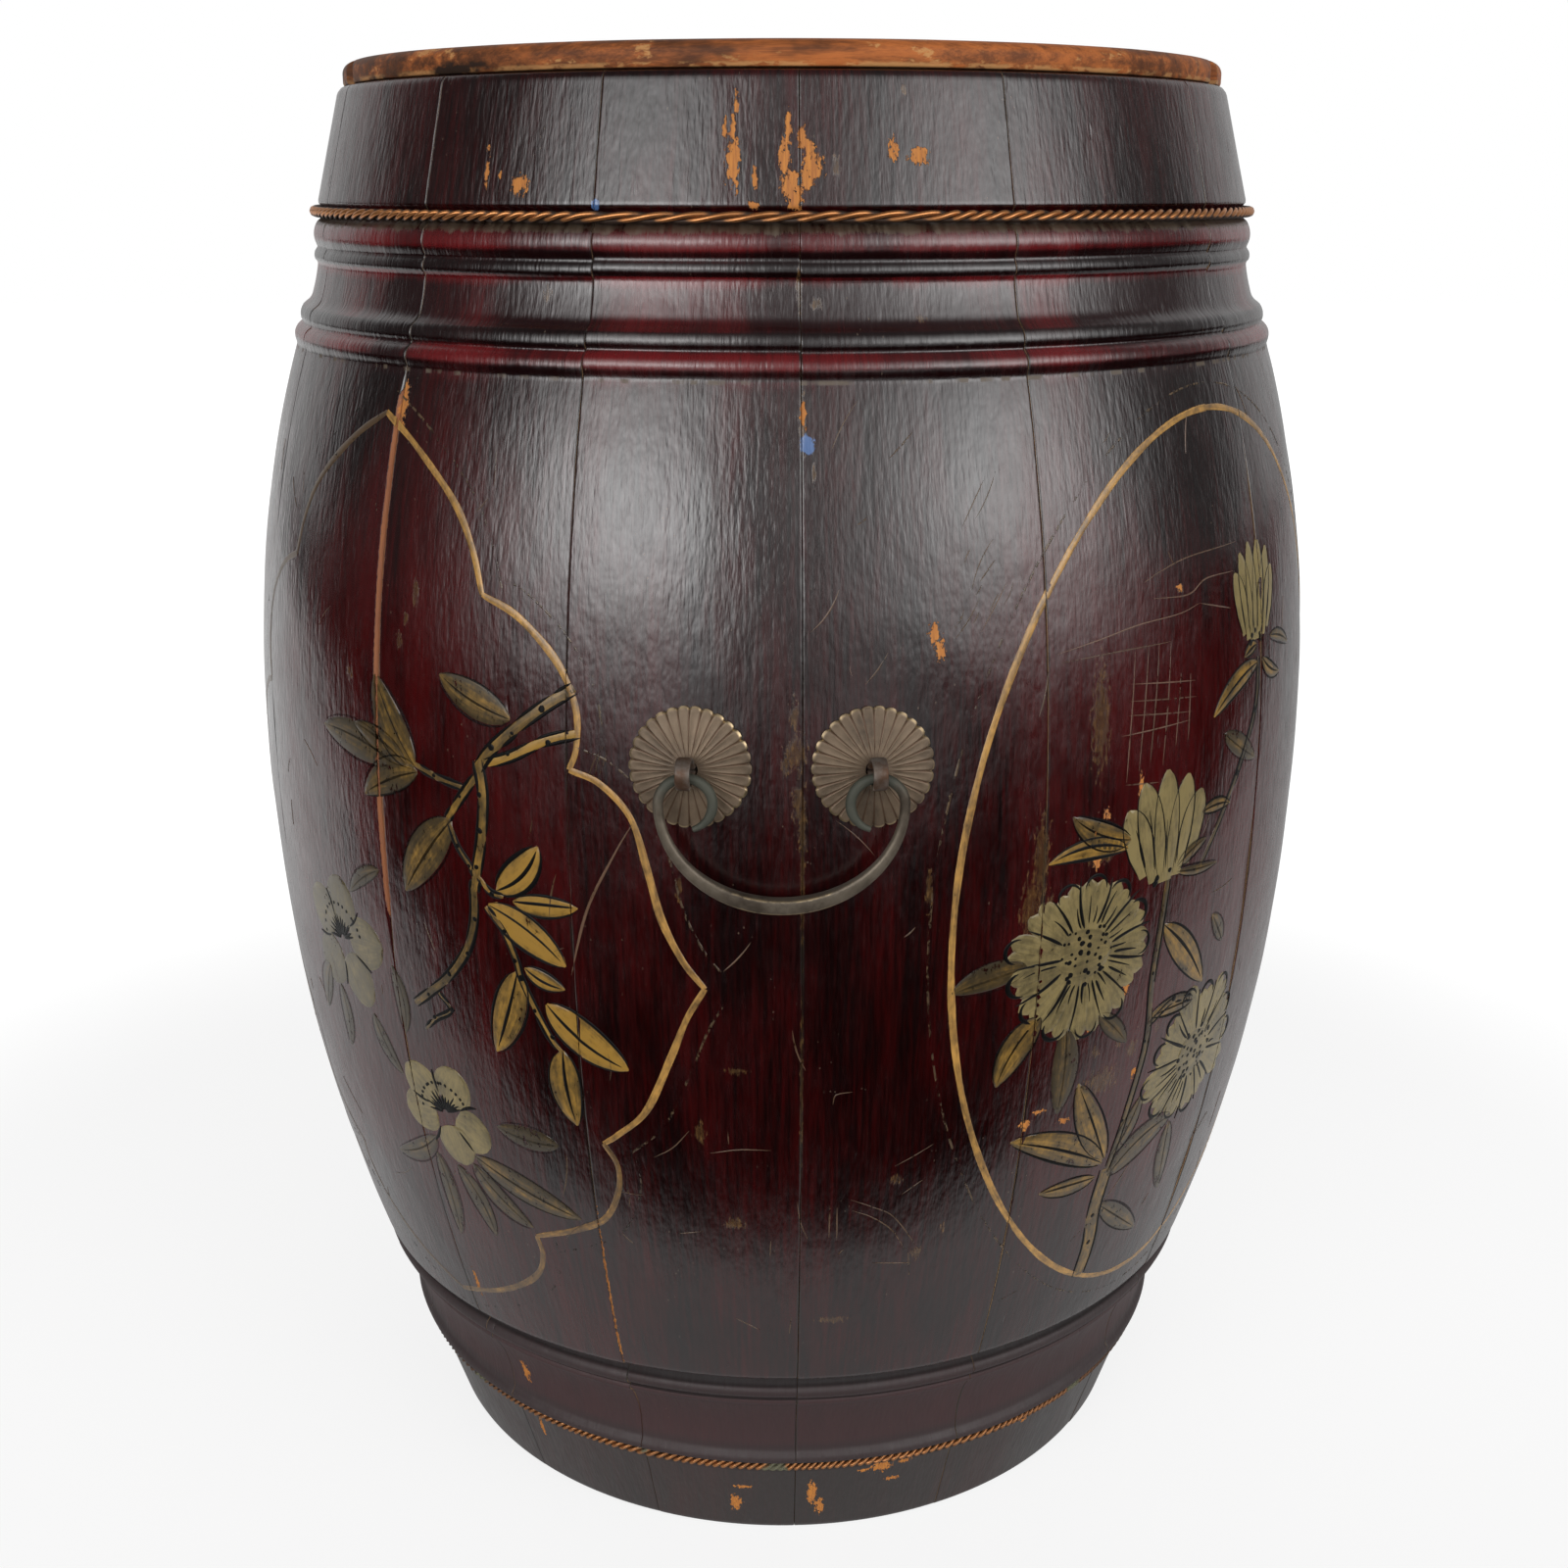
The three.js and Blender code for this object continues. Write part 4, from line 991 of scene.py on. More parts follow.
def rosette_form(angle):
    """Radial sections all round: height is a dome, less a shallow hollow across each petal and a narrow
    groove between petals, both of which fade at the hub."""
    around = np.linspace(0, 2 * math.pi, PETALS * PETAL_COLUMNS, endpoint=False)[:, None]
    across = 2 * (around * PETALS / (2 * math.pi) % 1) - 1
    share = np.concatenate([np.linspace(0, 0.86, 14), np.linspace(0.89, 1, 7)])[None, :]
    outline = ROSETTE_RADIUS - PETAL_TIP * (1 - np.sqrt(1 - (0.96 * across) ** 2))
    reach = ROSETTE_HUB + (outline - ROSETTE_HUB) * share
    dome = ROSETTE_THICKNESS + ROSETTE_DOME * (1 - share ** 2)
    tip = smooth_step(share, 0.80, 0.97)
    hollow = PETAL_HOLLOW * (1 - across ** 2) * smooth_step(share, 0.02, 0.4) * (1 - 0.75 * tip)
    roll = PETAL_ROLL * smooth_step(share, 0.95, 1.0)
    groove = PETAL_GROOVE * smooth_step(np.abs(across), 0.72, 1.0) * smooth_step(share, 0.02, 0.3)
    top = dome - hollow - groove - roll - PETAL_FALL * tip * np.abs(across) ** 3
    reach = np.concatenate([reach, reach[:, [-1]], reach[:, [0]]], 1)
    height = np.concatenate([top, 0 * across, 0 * across + ROSETTE_BACK], 1)
    theta = angle + reach * np.sin(around) / wall_radius
    loops = wall(theta, HANDLE_Z + reach * np.cos(around), height + ROSETTE_LIFT)
    fields = {
        "ridge": np.concatenate([np.abs(across) + 0 * share, np.ones((len(across), 2))], 1),
        "tip": np.concatenate([share + 0 * across, np.ones((len(across), 2))], 1),
    }
    return loft(loops, fields=fields, endless=True)


# %% [markdown]
# Old bronze is brown: a thin dull skin over the metal, rubbed bright along ridges and tips. On the rosettes
# the fine grooves between petals are painted dark in a rust colour, as painted shade. The same recipe serves
# the bails, with more green, and the iron pins, with rust.

# %% Bronze and iron finishes
BRONZE_BRIGHT = (0.50, 0.38, 0.22, 1)
BRONZE = (0.190, 0.135, 0.088, 1)
BRONZE_DARK = (0.045, 0.032, 0.022, 1)
BAIL_GREY = (0.170, 0.140, 0.105, 1)
BAIL_GREEN = (0.050, 0.056, 0.042, 1)
IRON_GREY = (0.17, 0.15, 0.13, 1)
IRON_BRIGHT = (0.62, 0.56, 0.48, 1)
RUST = (0.085, 0.040, 0.020, 1)


def rosette_finish():
    """Brown bronze, with painted shade in a rust colour in the grooves, rubbed bright at the petals' tips."""
    material, root = new_finish("rosette_bronze")
    place = place_of(root)
    grain = place.noise(500, detail=4, rough=0.65)
    cloud = place.noise(85, detail=3)
    ridge = field_of(root, "ridge")
    tip = field_of(root, "tip")
    # The fine grooves between petals, darkened in a rust colour as painted shade.
    groove = ridge.rise(0.74, 0.94) * tip.rise(1.0, 0.9)
    colour = (0.62 + 1.1 * (cloud - 0.5) + 0.5 * (grain - 0.5)).rise(0.0, 0.9).colour(BRONZE_DARK, BRONZE)
    colour = (groove * 0.75).colour(colour, RUST)
    rub = (tip.rise(0.90, 0.99) * (1.4 * cloud)).rise(0.35, 0.9)
    colour = (rub * 0.8).colour(colour, BRONZE_BRIGHT)
    close_finish(root, {
        "Base Color": colour,
        "Metallic": 0.45 + 0.45 * rub,
        "Roughness": 0.50 - 0.18 * rub + 0.2 * (grain - 0.5),
        "Normal": grain.bump(0.12 * MM, 0.5),
    })
    return material


def bail_finish():
    """Grey bronze, green in the curls, rubbed bright along its edges."""
    material, root = new_finish("bail_bronze")
    place = place_of(root)
    grain = place.noise(330, detail=4, rough=0.7)
    cloud = place.noise(70, detail=3)
    curl = field_of(root, "curl")
    grey = (0.55 + 1.2 * (cloud - 0.5) + 0.6 * (grain - 0.5)).rise(0.1, 0.9).colour(BRONZE_DARK, BAIL_GREY)
    green = (curl + 1.2 * (cloud - 0.5)).rise(0.25, 0.85)
    rub = (field_of(root, "arris") + 0.9 * (grain - 0.5)).rise(0.72, 1.05) * (1 - 0.7 * green)
    colour = (green * 0.85).colour(grey, BAIL_GREEN)
    close_finish(root, {
        "Base Color": (rub * 0.6).colour(colour, BRONZE_BRIGHT),
        "Metallic": 0.55 - 0.35 * green + 0.35 * rub,
        "Roughness": 0.46 + 0.2 * green - 0.12 * rub + 0.2 * (grain - 0.5),
        "Normal": (grain + 0.5 * cloud).bump(0.25 * MM, 0.6),
    })
    return material


def pin_finish():
    """Rusty iron, rubbed bright under the eye and along the strip's edges."""
    material, root = new_finish("pin_iron")
    place = place_of(root)
    grain = place.noise(420, detail=4, rough=0.7)
    cloud = place.noise(150, detail=3)
    rub = (field_of(root, "worn") + 1.1 * (grain - 0.5)).rise(0.55, 0.95)
    colour = (cloud + 0.5 * (grain - 0.5)).rise(0.3, 0.75).colour(RUST, IRON_GREY)
    close_finish(root, {
        "Base Color": rub.colour(colour, IRON_BRIGHT),
        "Metallic": 0.55 + 0.4 * rub,
        "Roughness": 0.52 - 0.26 * rub + 0.2 * (grain - 0.5),
        "Normal": grain.bump(0.2 * MM, 0.6),
    })
    return material


# %% [markdown]
# ## Split pins
# A flat strip is folded into an eye, its two legs driven through the wall and bent apart inside. The strip is
# a rounded rectangle carried along its folded line, which lies in the upright plane through the pin.

# %% Split pin form
STRIP_WIDTH = 5.0 * MM
STRIP_THICKNESS = 1.3 * MM
STRIP_PARTING = 0.8 * MM
EYE_RADIUS = 4.2 * MM
CLINCH_LENGTH = 15.0 * MM
CLINCH_BEND = 1.6 * MM
PIN_GAP = 0.3 * MM
WALL_DEPTH = 17.3 * MM

eye_outer = EYE_RADIUS + STRIP_THICKNESS
eye_distance = 2 * PIN_GAP + ROSETTE_DOME + ROSETTE_THICKNESS + eye_outer
print("eyes stand", round(eye_distance / MM, 2), "mm off the wall")


def squared_off(wave, power):
    """A wave with its sign kept and its size raised to a power. Below 1 it fills out to a square."""
    return np.sign(wave) * np.abs(wave) ** power


def arc(centre, radius, start, end, steps):
    """Points on a circle from one angle to another, in degrees."""
    a = np.radians(np.linspace(start, end, steps))
    return np.stack([centre[0] + radius * np.cos(a), centre[1] + radius * np.sin(a)], 1)


def split_pin_line():
    """Middle line of the strip as distances out from the wall and up: clinch, leg, eye, leg, clinch."""
    middle = EYE_RADIUS + STRIP_THICKNESS / 2
    leg = (STRIP_PARTING + STRIP_THICKNESS) / 2
    back = -WALL_DEPTH - STRIP_THICKNESS - PIN_GAP
    opening_angle = 180 - math.degrees(math.asin(leg / middle))
    corner = (back + CLINCH_BEND, leg + CLINCH_BEND)
    half = np.concatenate([
        np.stack([np.full(6, back), np.linspace(CLINCH_LENGTH, corner[1], 6)], 1),
        arc(corner, CLINCH_BEND, 180, 270, 7)[1:],
        np.stack([np.linspace(corner[0], 0.5 * MM, 6)[1:], np.full(5, leg)], 1),
        arc((eye_distance, 0), middle, opening_angle, 0, 25),
    ])
    return np.concatenate([half, (half * [1, -1])[-2::-1]])


def split_pin_form(angle):
    """A rounded rectangle across the strip at each point of its line, square to the line."""
    line = split_pin_line()
    a = np.linspace(0, 2 * math.pi, 20, endpoint=False)
    flat = squared_off(np.cos(a), 0.35) * STRIP_WIDTH / 2
    thick = squared_off(np.sin(a), 0.5) * STRIP_THICKNESS / 2
    plane = line[:, None, :] + square_to(line)[:, None, :] * thick[None, :, None]
    out, up = plane[..., 0], plane[..., 1]
    lean_out = out * math.cos(wall_lean) - up * math.sin(wall_lean)
    lean_up = out * math.sin(wall_lean) + up * math.cos(wall_lean)
    radius = wall_radius + lean_out
    x = radius * math.sin(angle) + flat * math.cos(angle)
    y = -radius * math.cos(angle) + flat * math.sin(angle)
    below = np.clip(-(line[:, 1] / eye_outer), 0, 1) * (line[:, 0] > eye_distance - 2 * MM)
    worn = below[:, None] * np.abs(flat / STRIP_WIDTH * 2) ** 0.5 + 0.35 * np.abs(np.cos(a)) ** 6
    return loft(np.stack([x, y, HANDLE_Z + lean_up], -1), fields={"worn": worn})


# %% [markdown]
# ## Bails
# The bail is forged from one rod: round and thin where it curls through the eyes, thicker and flatter at the
# bottom of the bow, where it was hammered square. Its middle line is two circles and half an ellipse, and its
# section is a superellipse whose power grows from 2, a circle, towards a square.

# %% Bail form
BAIL_END = 1.75 * MM
BAIL_TIP = 1.0 * MM
BAIL_MIDDLE_HEIGHT = 2.7 * MM
BAIL_MIDDLE_DEPTH = 2.5 * MM
BAIL_DROP = 45.0 * MM
BAIL_PLAY = 0.9 * MM
BAIL_IN_EYE = 1.8 * MM
CURL_RADIUS = 9.0 * MM
CURL_DEGREES = 255

bail_sag = EYE_RADIUS - BAIL_IN_EYE - BAIL_PLAY
eye_reach = wall_radius + eye_distance * math.cos(wall_lean) - bail_sag * math.sin(wall_lean)
hinge_x = eye_reach * math.sin(PIN_ANGLE)
hinge_y = -eye_reach * math.cos(PIN_ANGLE)
hinge_z = HANDLE_Z + eye_distance * math.sin(wall_lean) - bail_sag * math.cos(wall_lean)
print("bail hangs at", [round(value, 4) for value in (hinge_x, hinge_y, hinge_z)])


def bail_line():
    """Middle line seen from the front: from the tip of one curl over its eye, down the bow and up again."""
    curl = arc((-hinge_x, -CURL_RADIUS), CURL_RADIUS, 180 - CURL_DEGREES, 180, 44)
    half_width = hinge_x + CURL_RADIUS
    at = np.radians(np.linspace(180, 270, 46))[1:]
    arm = np.stack([half_width * np.cos(at), (BAIL_DROP - CURL_RADIUS) * np.sin(at) - CURL_RADIUS], 1)
    half = np.concatenate([curl, arm])
    return np.concatenate([half, (half * [-1, 1])[-2::-1]])


def bail_form(turn):
    """Superellipse sections square to the middle line, growing from the tips to the bottom of the bow."""
    line = bail_line()
    share = along(line) / along(line)[-1]
    from_middle = np.abs(2 * share - 1)[:, None]
    swell = smooth_step(1 - from_middle, 0.42, 0.95)
    tip = smooth_step(1 - from_middle, -0.01, 0.10)
    a = np.linspace(0, 2 * math.pi, 24, endpoint=False)[None, :]
    power = 2 / (2 + 2.4 * swell)
    end = BAIL_TIP + (BAIL_END - BAIL_TIP) * tip
    height = (end + (BAIL_MIDDLE_HEIGHT - end) * swell) * squared_off(np.cos(a), power)
    depth = (end + (BAIL_MIDDLE_DEPTH - end) * swell) * squared_off(np.sin(a), power)
    plane = line[:, None, :] + square_to(line)[:, None, :] * height[..., None]
    sign = math.cos(turn)
    fields = {
        "curl": smooth_step(from_middle, 0.45, 0.8) + 0 * a,
        "arris": np.abs(np.sin(2 * a)) * (0.25 + 0.75 * swell),
    }
    loops = np.stack([sign * plane[..., 0], sign * (hinge_y + depth), hinge_z + plane[..., 1]], -1)
    return loft(loops, fields=fields)


# %% Hang both handles
FACES = {"front": 0.0, "rear": math.pi}
rosette_bronze = rosette_finish()
bail_bronze = bail_finish()
pin_iron = pin_finish()
for place, turn in FACES.items():
    for side, sign in (("left", -1), ("right", 1)):
        angle = turn + sign * PIN_ANGLE
        piece(f"dished_{place}_rosette_{side}", rosette_form(angle), [rosette_bronze], "barrel",
              [f"{place}_rosette_{side}"], crease=55)
        piece(f"folded_{place}_split_pin_{side}", split_pin_form(angle), [pin_iron], "barrel",
              [f"{place}_split_pin_{side}"], crease=60)
    piece(f"forged_{place}_bail", bail_form(turn), [bail_bronze], f"{place}_handle", [f"{place}_bail"],
          crease=60)
    print(place, "handle hung at", round(hinge_z, 4))

# %% [markdown]
# ## A brush for the painted panels
# Four gold outlines divide the belly, and each holds a spray of flowers: common garden flowers, in the way
# such barrels were painted. A drawn image would tie the picture to one place and size, so every stroke is
# geometry instead: a film of paint a tenth of a millimetre thick on the wall. Strokes are laid out on a flat
# sheet of angle times radius and height, and the wall formula wraps them round the belly.

# %% Strokes and films
SHEET_RADIUS = 222.0 * MM
FILM_HEIGHT = 0.10 * MM
FILM_EDGE = -0.03 * MM
FILM_FOOT = -0.20 * MM
CURVE_STEPS = 8
STROKE_COLUMNS = np.array([-1, -0.72, 0, 0.72, 1])
HAND_SWAY = 0.011
HAND_TREMOR = 0.0037
brush = np.random.default_rng(5)


def sheet(degrees, height):
    """Flat place, in metres, of an angle in degrees from the front and a height in millimetres."""
    return np.array([math.radians(degrees) * SHEET_RADIUS, height * MM])


def through(places):
    """A smooth line through places of the sheet: a cubic between each pair, steered by the places around
    it."""
    p = np.array([sheet(*place) for place in places])
    p = np.concatenate([[2 * p[0] - p[1]], p, [2 * p[-1] - p[-2]]])
    t = np.linspace(0, 1, CURVE_STEPS, endpoint=False)[None, :, None]
    a, b, c, d = (p[i:len(p) - 3 + i, None] for i in range(4))
    line = b + (c - a) / 2 * t + (a - 2.5 * b + 2 * c - d / 2) * t ** 2
    line = line + (1.5 * (b - c) + (d - a) / 2) * t ** 3
    return np.concatenate([line.reshape(-1, 2), p[-2:-1]])


def film(flat, height, tone, uv, turn):
    """A closed film over rows of flat points: raised in the middle, sunk below the lacquer at its edges. Its
    tone is one value, or one for each point across."""
    rise = np.full(flat.shape[1], height)
    rise[[0, -1]] = FILM_EDGE
    foot = np.stack([flat[:, -1], flat[:, 0]], 1)
    whole = np.concatenate([flat, foot], 1)
    heights = np.concatenate([rise, [FILM_FOOT, FILM_FOOT]])[None, :] + 0 * whole[..., 0]
    loops = wall(whole[..., 0] / SHEET_RADIUS + turn, whole[..., 1], heights)
    flat_uv = np.concatenate([uv, uv[:, [-1, 0]]], 1)
    tones = np.broadcast_to(tone, flat.shape[:2])
    return loft(loops, flat_uv, {"tone": np.concatenate([tones, tones[:, [-1, 0]]], 1)})


def banded(line, side, half, columns):
    """Rows of flat points across a line: each column stands off it by a share of its half width."""
    return line[:, None, :] + side[:, None, :] * half[:, None, None] * columns[None, :, None]


def stroke(line, width, turn, height=FILM_HEIGHT, tone=0.5, taper=0.6, ends=0.08, lean=1.0):
    """A band along a line of flat points. Its width swells from its ends as a power of a sine, with a little
    unsteadiness of the hand. A lean below 1 moves the widest place towards the start."""
    travel = along(line)
    share = travel / travel[-1]
    swell = ends + (1 - ends) * np.sin(math.pi * np.clip(share, 0.001, 0.999) ** lean) ** taper
    hand = 1 + 0.10 * np.sin(travel / HAND_SWAY + brush.uniform(0, 6))
    hand = hand + 0.06 * np.sin(travel / HAND_TREMOR + brush.uniform(0, 6))
    flat = banded(line, square_to(line), width / 2 * swell * hand, STROKE_COLUMNS)
    uv = np.stack(np.broadcast_arrays(STROKE_COLUMNS[None, :] * width / 2, travel[:, None]), -1)
    return film(flat, height, tone, uv, turn)


# %% [markdown]
# ### Leaves, petals and ink
# A leaf or petal is a film whose width follows a formula along its own middle line: a full, pointed oval for
# a leaf, a spoon for each half of a chrysanthemum petal, a round for a blossom petal. Ink goes over the gold:
# a midrib and two outlines for each leaf, drawn a little off the edge, as a quick hand does.

# %% Leaf and petal shapes
BLADE_END = 0.004
BLADE_COLUMNS = np.array([-1, -0.86, -0.3, 0.3, 0.86, 1])
RIB_STEPS = 40
RIB_POINTS = 12


def pointed(t):
    """Half width of a leaf: a sine, filled out towards both ends."""
    return np.sin(math.pi * t ** 0.88) ** 0.62


def spoon(t):
    """Half width of a long petal: it widens steadily, then closes in a round end."""
    return (0.30 + 0.70 * np.clip(t / 0.75, 0, 1) ** 0.9) * np.sqrt(1 - np.clip((t - 0.78) / 0.22, 0, 1) ** 2)


def rounded(t):
    """Half width of a blossom petal: an oval, fuller towards its end."""
    return np.sqrt(np.clip(1 - (2 * t ** 0.8 - 1) ** 2, 0, 1))


def slender(t):
    """Half width of a closed petal: full for most of its length, then drawn to a blunt point."""
    return (0.55 + 0.45 * np.clip(t / 0.35, 0, 1)) * np.sqrt(1 - np.clip((t - 0.55) / 0.45, 0, 1) ** 2)


def middle_line(base, tip, bend, steps):
    """A line from base to tip that stands off its chord by bend times its length, the way across it, and the
    length of the chord."""
    t = np.linspace(0, 1, steps)[:, None]
    reach = tip - base
    side = np.array([-reach[1], reach[0]])
    line = base + reach * t + side * bend * 4 * t * (1 - t)
    return line, square_to(line), float(np.hypot(*reach))


def blade(base, tip, width, turn, shape=pointed, bend=0.0, height=FILM_HEIGHT, tone=0.5, steps=15, fade=0.1):
    """The film of one leaf or petal. Its tone fades towards both edges."""
    line, side, length = middle_line(base, tip, bend, steps)
    t = np.linspace(BLADE_END, 1 - BLADE_END, steps)
    flat = banded(line, side, width / 2 * np.maximum(shape(t), 0.02), BLADE_COLUMNS)
    uv = np.stack(np.broadcast_arrays(BLADE_COLUMNS[None, :] * width / 2, (t * length)[:, None]), -1)
    return film(flat, height, tone - fade * BLADE_COLUMNS[None, :] ** 2, uv, turn)


def rib(base, tip, bend=0.0, offset=None, start=0.0, end=1.0):
    """Part of the line from base to tip. An offset is a function that gives its distance from the middle."""
    line, side, _ = middle_line(base, tip, bend, RIB_STEPS)
    t = np.linspace(0, 1, RIB_STEPS)
    if offset is not None:
        line = line + side * offset(t)[:, None]
    chosen = np.linspace(start, end, RIB_POINTS)
    return np.stack([np.interp(chosen, t, line[:, i]) for i in range(2)], 1)


# %% A leaf with its ink
INK_WIDTH = 1.7 * MM
INK_HEIGHT = 0.17 * MM
LEAF_BEND = 0.09


def ink_line(ink, turn, line, width, tone=0.5, lean=1.0):
    """A fine stroke over the gold; its width is a share of the usual one."""
    ink.append(stroke(line, INK_WIDTH * width, turn, INK_HEIGHT, tone, lean=lean))


def leaf(gold, ink, turn, start, end, width, tone):
    """One painted leaf from its base to its tip, in degrees and millimetres, with outlines and a midrib."""
    base, tip = sheet(*start), sheet(*end)
    bend = brush.uniform(-LEAF_BEND, LEAF_BEND)
    gold.append(blade(base, tip, width * MM, turn, bend=bend, tone=tone + 0.1, fade=0.35))
    edge = width * MM / 2
    bold = 0.5 + 0.6 * tone
    for sign in (-1, 1):
        slip = brush.uniform(-0.3, 0.7) * MM
        outline = rib(base, tip, bend, lambda t: sign * (
            edge * pointed(np.clip(t, BLADE_END, 1 - BLADE_END)) + slip), 0.02, 0.97)
        ink_line(ink, turn, outline, bold * brush.uniform(0.55, 1.0), 0.7 * tone)
    middle = rib(base, tip, bend, lambda t: (
        0.25 * edge * brush.uniform(-1, 1) * np.sin(math.pi * t)), -0.04, 0.93)
    ink_line(ink, turn, middle, bold * brush.uniform(0.7, 1.1), 0.7 * tone)


def dot(ink, turn, centre, radius):
    """A touch of the brush's tip: a small round."""
    angle = brush.uniform(0, 2 * math.pi)
    reach = radius * np.array([math.cos(angle), math.sin(angle)])
    ink.append(blade(centre - reach, centre + reach, 2 * radius, turn, rounded, height=INK_HEIGHT, steps=7))


# %% [markdown]
# ### Flowers
# An open chrysanthemum is a ring of notched petals, each of two lobes, with ink between them and a knot of
# dots in its middle. A bud is a sheaf of slender petals. A blossom has five round petals, a fan of stamens
# and a ring of dots.

# %% A chrysanthemum
KNOT_DOTS = 38
GOLDEN_TURN = 2.4


def spoke(centre, angle, near, far):
    """Two flat places on a line from the centre, at two distances along an angle."""
    way = np.array([math.cos(angle), math.sin(angle)])
    return centre + way * near, centre + way * far


def chrysanthemum(cream, ink, turn, middle, radius, petals, tone):
    """Petals all round, each of two spoon lobes, with bold ink between petals, fine ink along them, and a
    knot of dots on a round middle."""
    centre = sheet(*middle)
    size = radius * MM
    step = 2 * math.pi / petals

    def hair(angle, near, far, width):
        """One ink line outwards, its two distances and its width drawn from three ranges."""
        start, end = spoke(centre, angle, size * brush.uniform(*near), size * brush.uniform(*far))
        line = rib(start, end, brush.uniform(-0.06, 0.06))
        ink_line(ink, turn, line, brush.uniform(*width), lean=0.5)

    for k in range(petals):
        angle = step * (k + brush.uniform(-0.10, 0.10))
        length = size * brush.uniform(0.86, 1.04)
        lift = (0.09 + 0.02 * (k % 2)) * MM
        shade = tone + brush.uniform(-0.12, 0.12)
        for lobe in (-0.22, 0.22):
            base, tip = spoke(centre, angle + lobe * step, 0.10 * size, length * brush.uniform(0.94, 1.03))
            cream.append(blade(base, tip, 0.54 * size * step, turn, spoon, 0, lift, shade))
        hair(angle + step / 2, (0.30, 0.38), (0.86, 0.98), (0.7, 1.1))
        for vein in (-0.17, 0.17):
            if brush.uniform() >= 0.4:
                hair(angle + vein * step, (0.32, 0.42), (0.55, 0.80), (0.45, 0.9))
        if brush.uniform() < 0.85:
            crown = arc(spoke(centre, angle, 0, 0.88 * length)[1], 0.30 * size * step,
                        math.degrees(angle) - 95, math.degrees(angle) + 95, 12)
            ink_line(ink, turn, crown, brush.uniform(0.7, 1.2))
    west, east = spoke(centre, 0, -0.36 * size, 0.36 * size)
    cream.append(blade(west, east, 0.72 * size, turn, rounded, 0, 0.13 * MM, tone - 0.1))
    for k in range(KNOT_DOTS):
        far = size * 0.38 * math.sqrt((k + 0.5) / KNOT_DOTS)
        place = spoke(centre, GOLDEN_TURN * k + brush.uniform(-0.4, 0.4), 0, far)[1]
        dot(ink, turn, place, brush.uniform(0.55, 1.25) * MM)


# %% A bud
BUD_DOTS = 5


def bud(cream, ink, turn, foot, lean, length, petals, spread, tone):
    """Slender petals side by side, the middle ones longest and in front, with ink along their edges."""
    base = sheet(*foot)
    size = length * MM
    order = sorted(range(petals), key=lambda k: -abs(2 * k / (petals - 1) - 1))
    for k in order:
        share = 2 * k / (petals - 1) - 1
        angle = math.radians(90 - lean - spread * share)
        far = size * (1 - 0.34 * share ** 2) * brush.uniform(0.95, 1.04)
        foot_place = base + np.array([share * 0.22 * size, 0.10 * size * share ** 2])
        start, tip = spoke(foot_place, angle, 0.02 * size, far)
        lift = (0.15 - 0.06 * abs(share)) * MM
        shade = tone + brush.uniform(-0.1, 0.1)
        cream.append(blade(start, tip, 1.5 / petals * size, turn, slender, 0.03 * share, lift, shade))
        for sign in (-1, 1):
            edge = rib(start, tip, 0.03 * share, lambda t: (
                sign * 0.74 / petals * size * slender(np.clip(t, 0, 0.999))), 0.05, 0.97)
            ink_line(ink, turn, edge, brush.uniform(0.3, 0.65))
        vein = rib(start, tip, 0.03 * share, None, 0.12, brush.uniform(0.5, 0.85))
        ink_line(ink, turn, vein, brush.uniform(0.3, 0.6), lean=0.6)
    for k in range(BUD_DOTS):
        place = spoke(base, brush.uniform(0, math.pi), 0, 0.12 * size)[1]
        dot(ink, turn, place, brush.uniform(0.8, 1.5) * MM)


# %% A blossom and a twig
STAMENS = 15


def blossom(cream, ink, turn, middle, radius, angles, tone):
    """Five round petals at given angles, stamens in a fan, and a ring of dots at their ends."""
    centre = sheet(*middle)
    size = radius * MM
    for k, degrees in enumerate(angles):
        angle = math.radians(degrees)
        base, tip = spoke(centre, angle, 0.22 * size, size * brush.uniform(0.92, 1.06))
        lift = (0.09 + 0.02 * (k % 3)) * MM
        shade = tone + brush.uniform(-0.1, 0.1)
        cream.append(blade(base, tip, 0.80 * size, turn, rounded, 0, lift, shade, 17))
        between = angle + math.radians((angles[(k + 1) % len(angles)] - degrees) % 360) / 2
        start, end = spoke(centre, between, 0.36 * size, 0.74 * size)
        ink_line(ink, turn, rib(start, end, brush.uniform(-0.1, 0.1)), 0.9)
    for k in range(STAMENS):
        angle = math.radians(20 + 160 * k / (STAMENS - 1) + brush.uniform(-5, 5))
        start, end = spoke(centre, angle, 0.06 * size, size * brush.uniform(0.30, 0.42))
        ink_line(ink, turn, rib(start, end), 0.8)
        dot(ink, turn, spoke(centre, angle, 0, 0.52 * size)[1], 0.75 * MM)


def branch(gold, ink, turn, places, width, tone):
    """A twig: a tapering band of gold with a broken ink line on each side and a knot at each place."""
    line = through(places)
    gold.append(stroke(line, width * MM, turn, tone=tone, taper=0.25, ends=0.45))
    for place in places[1:-1]:
        knot = sheet(*place) + brush.uniform(-0.4, 0.4, 2) * width * MM
        dot(ink, turn, knot, brush.uniform(0.7, 1.3) * MM)
    for sign in (-1, 1):
        whole = line + square_to(line) * sign * width * MM * 0.46
        cut = np.sort(brush.integers(0, len(whole), 2))
        for part in (whole[:cut[0]], whole[cut[0]:cut[1]], whole[cut[1]:]):
            if len(part) > 3:
                ink_line(ink, turn, part, brush.uniform(0.6, 1.1))


# %% [markdown]
# ### Gold outlines
# The left panel is a lobed frame, drawn as lobes between cusps and mirrored about its own middle. The right
# one is an oval, an ellipse on the sheet. A fine second line, nearly worn away, runs outside each of them.

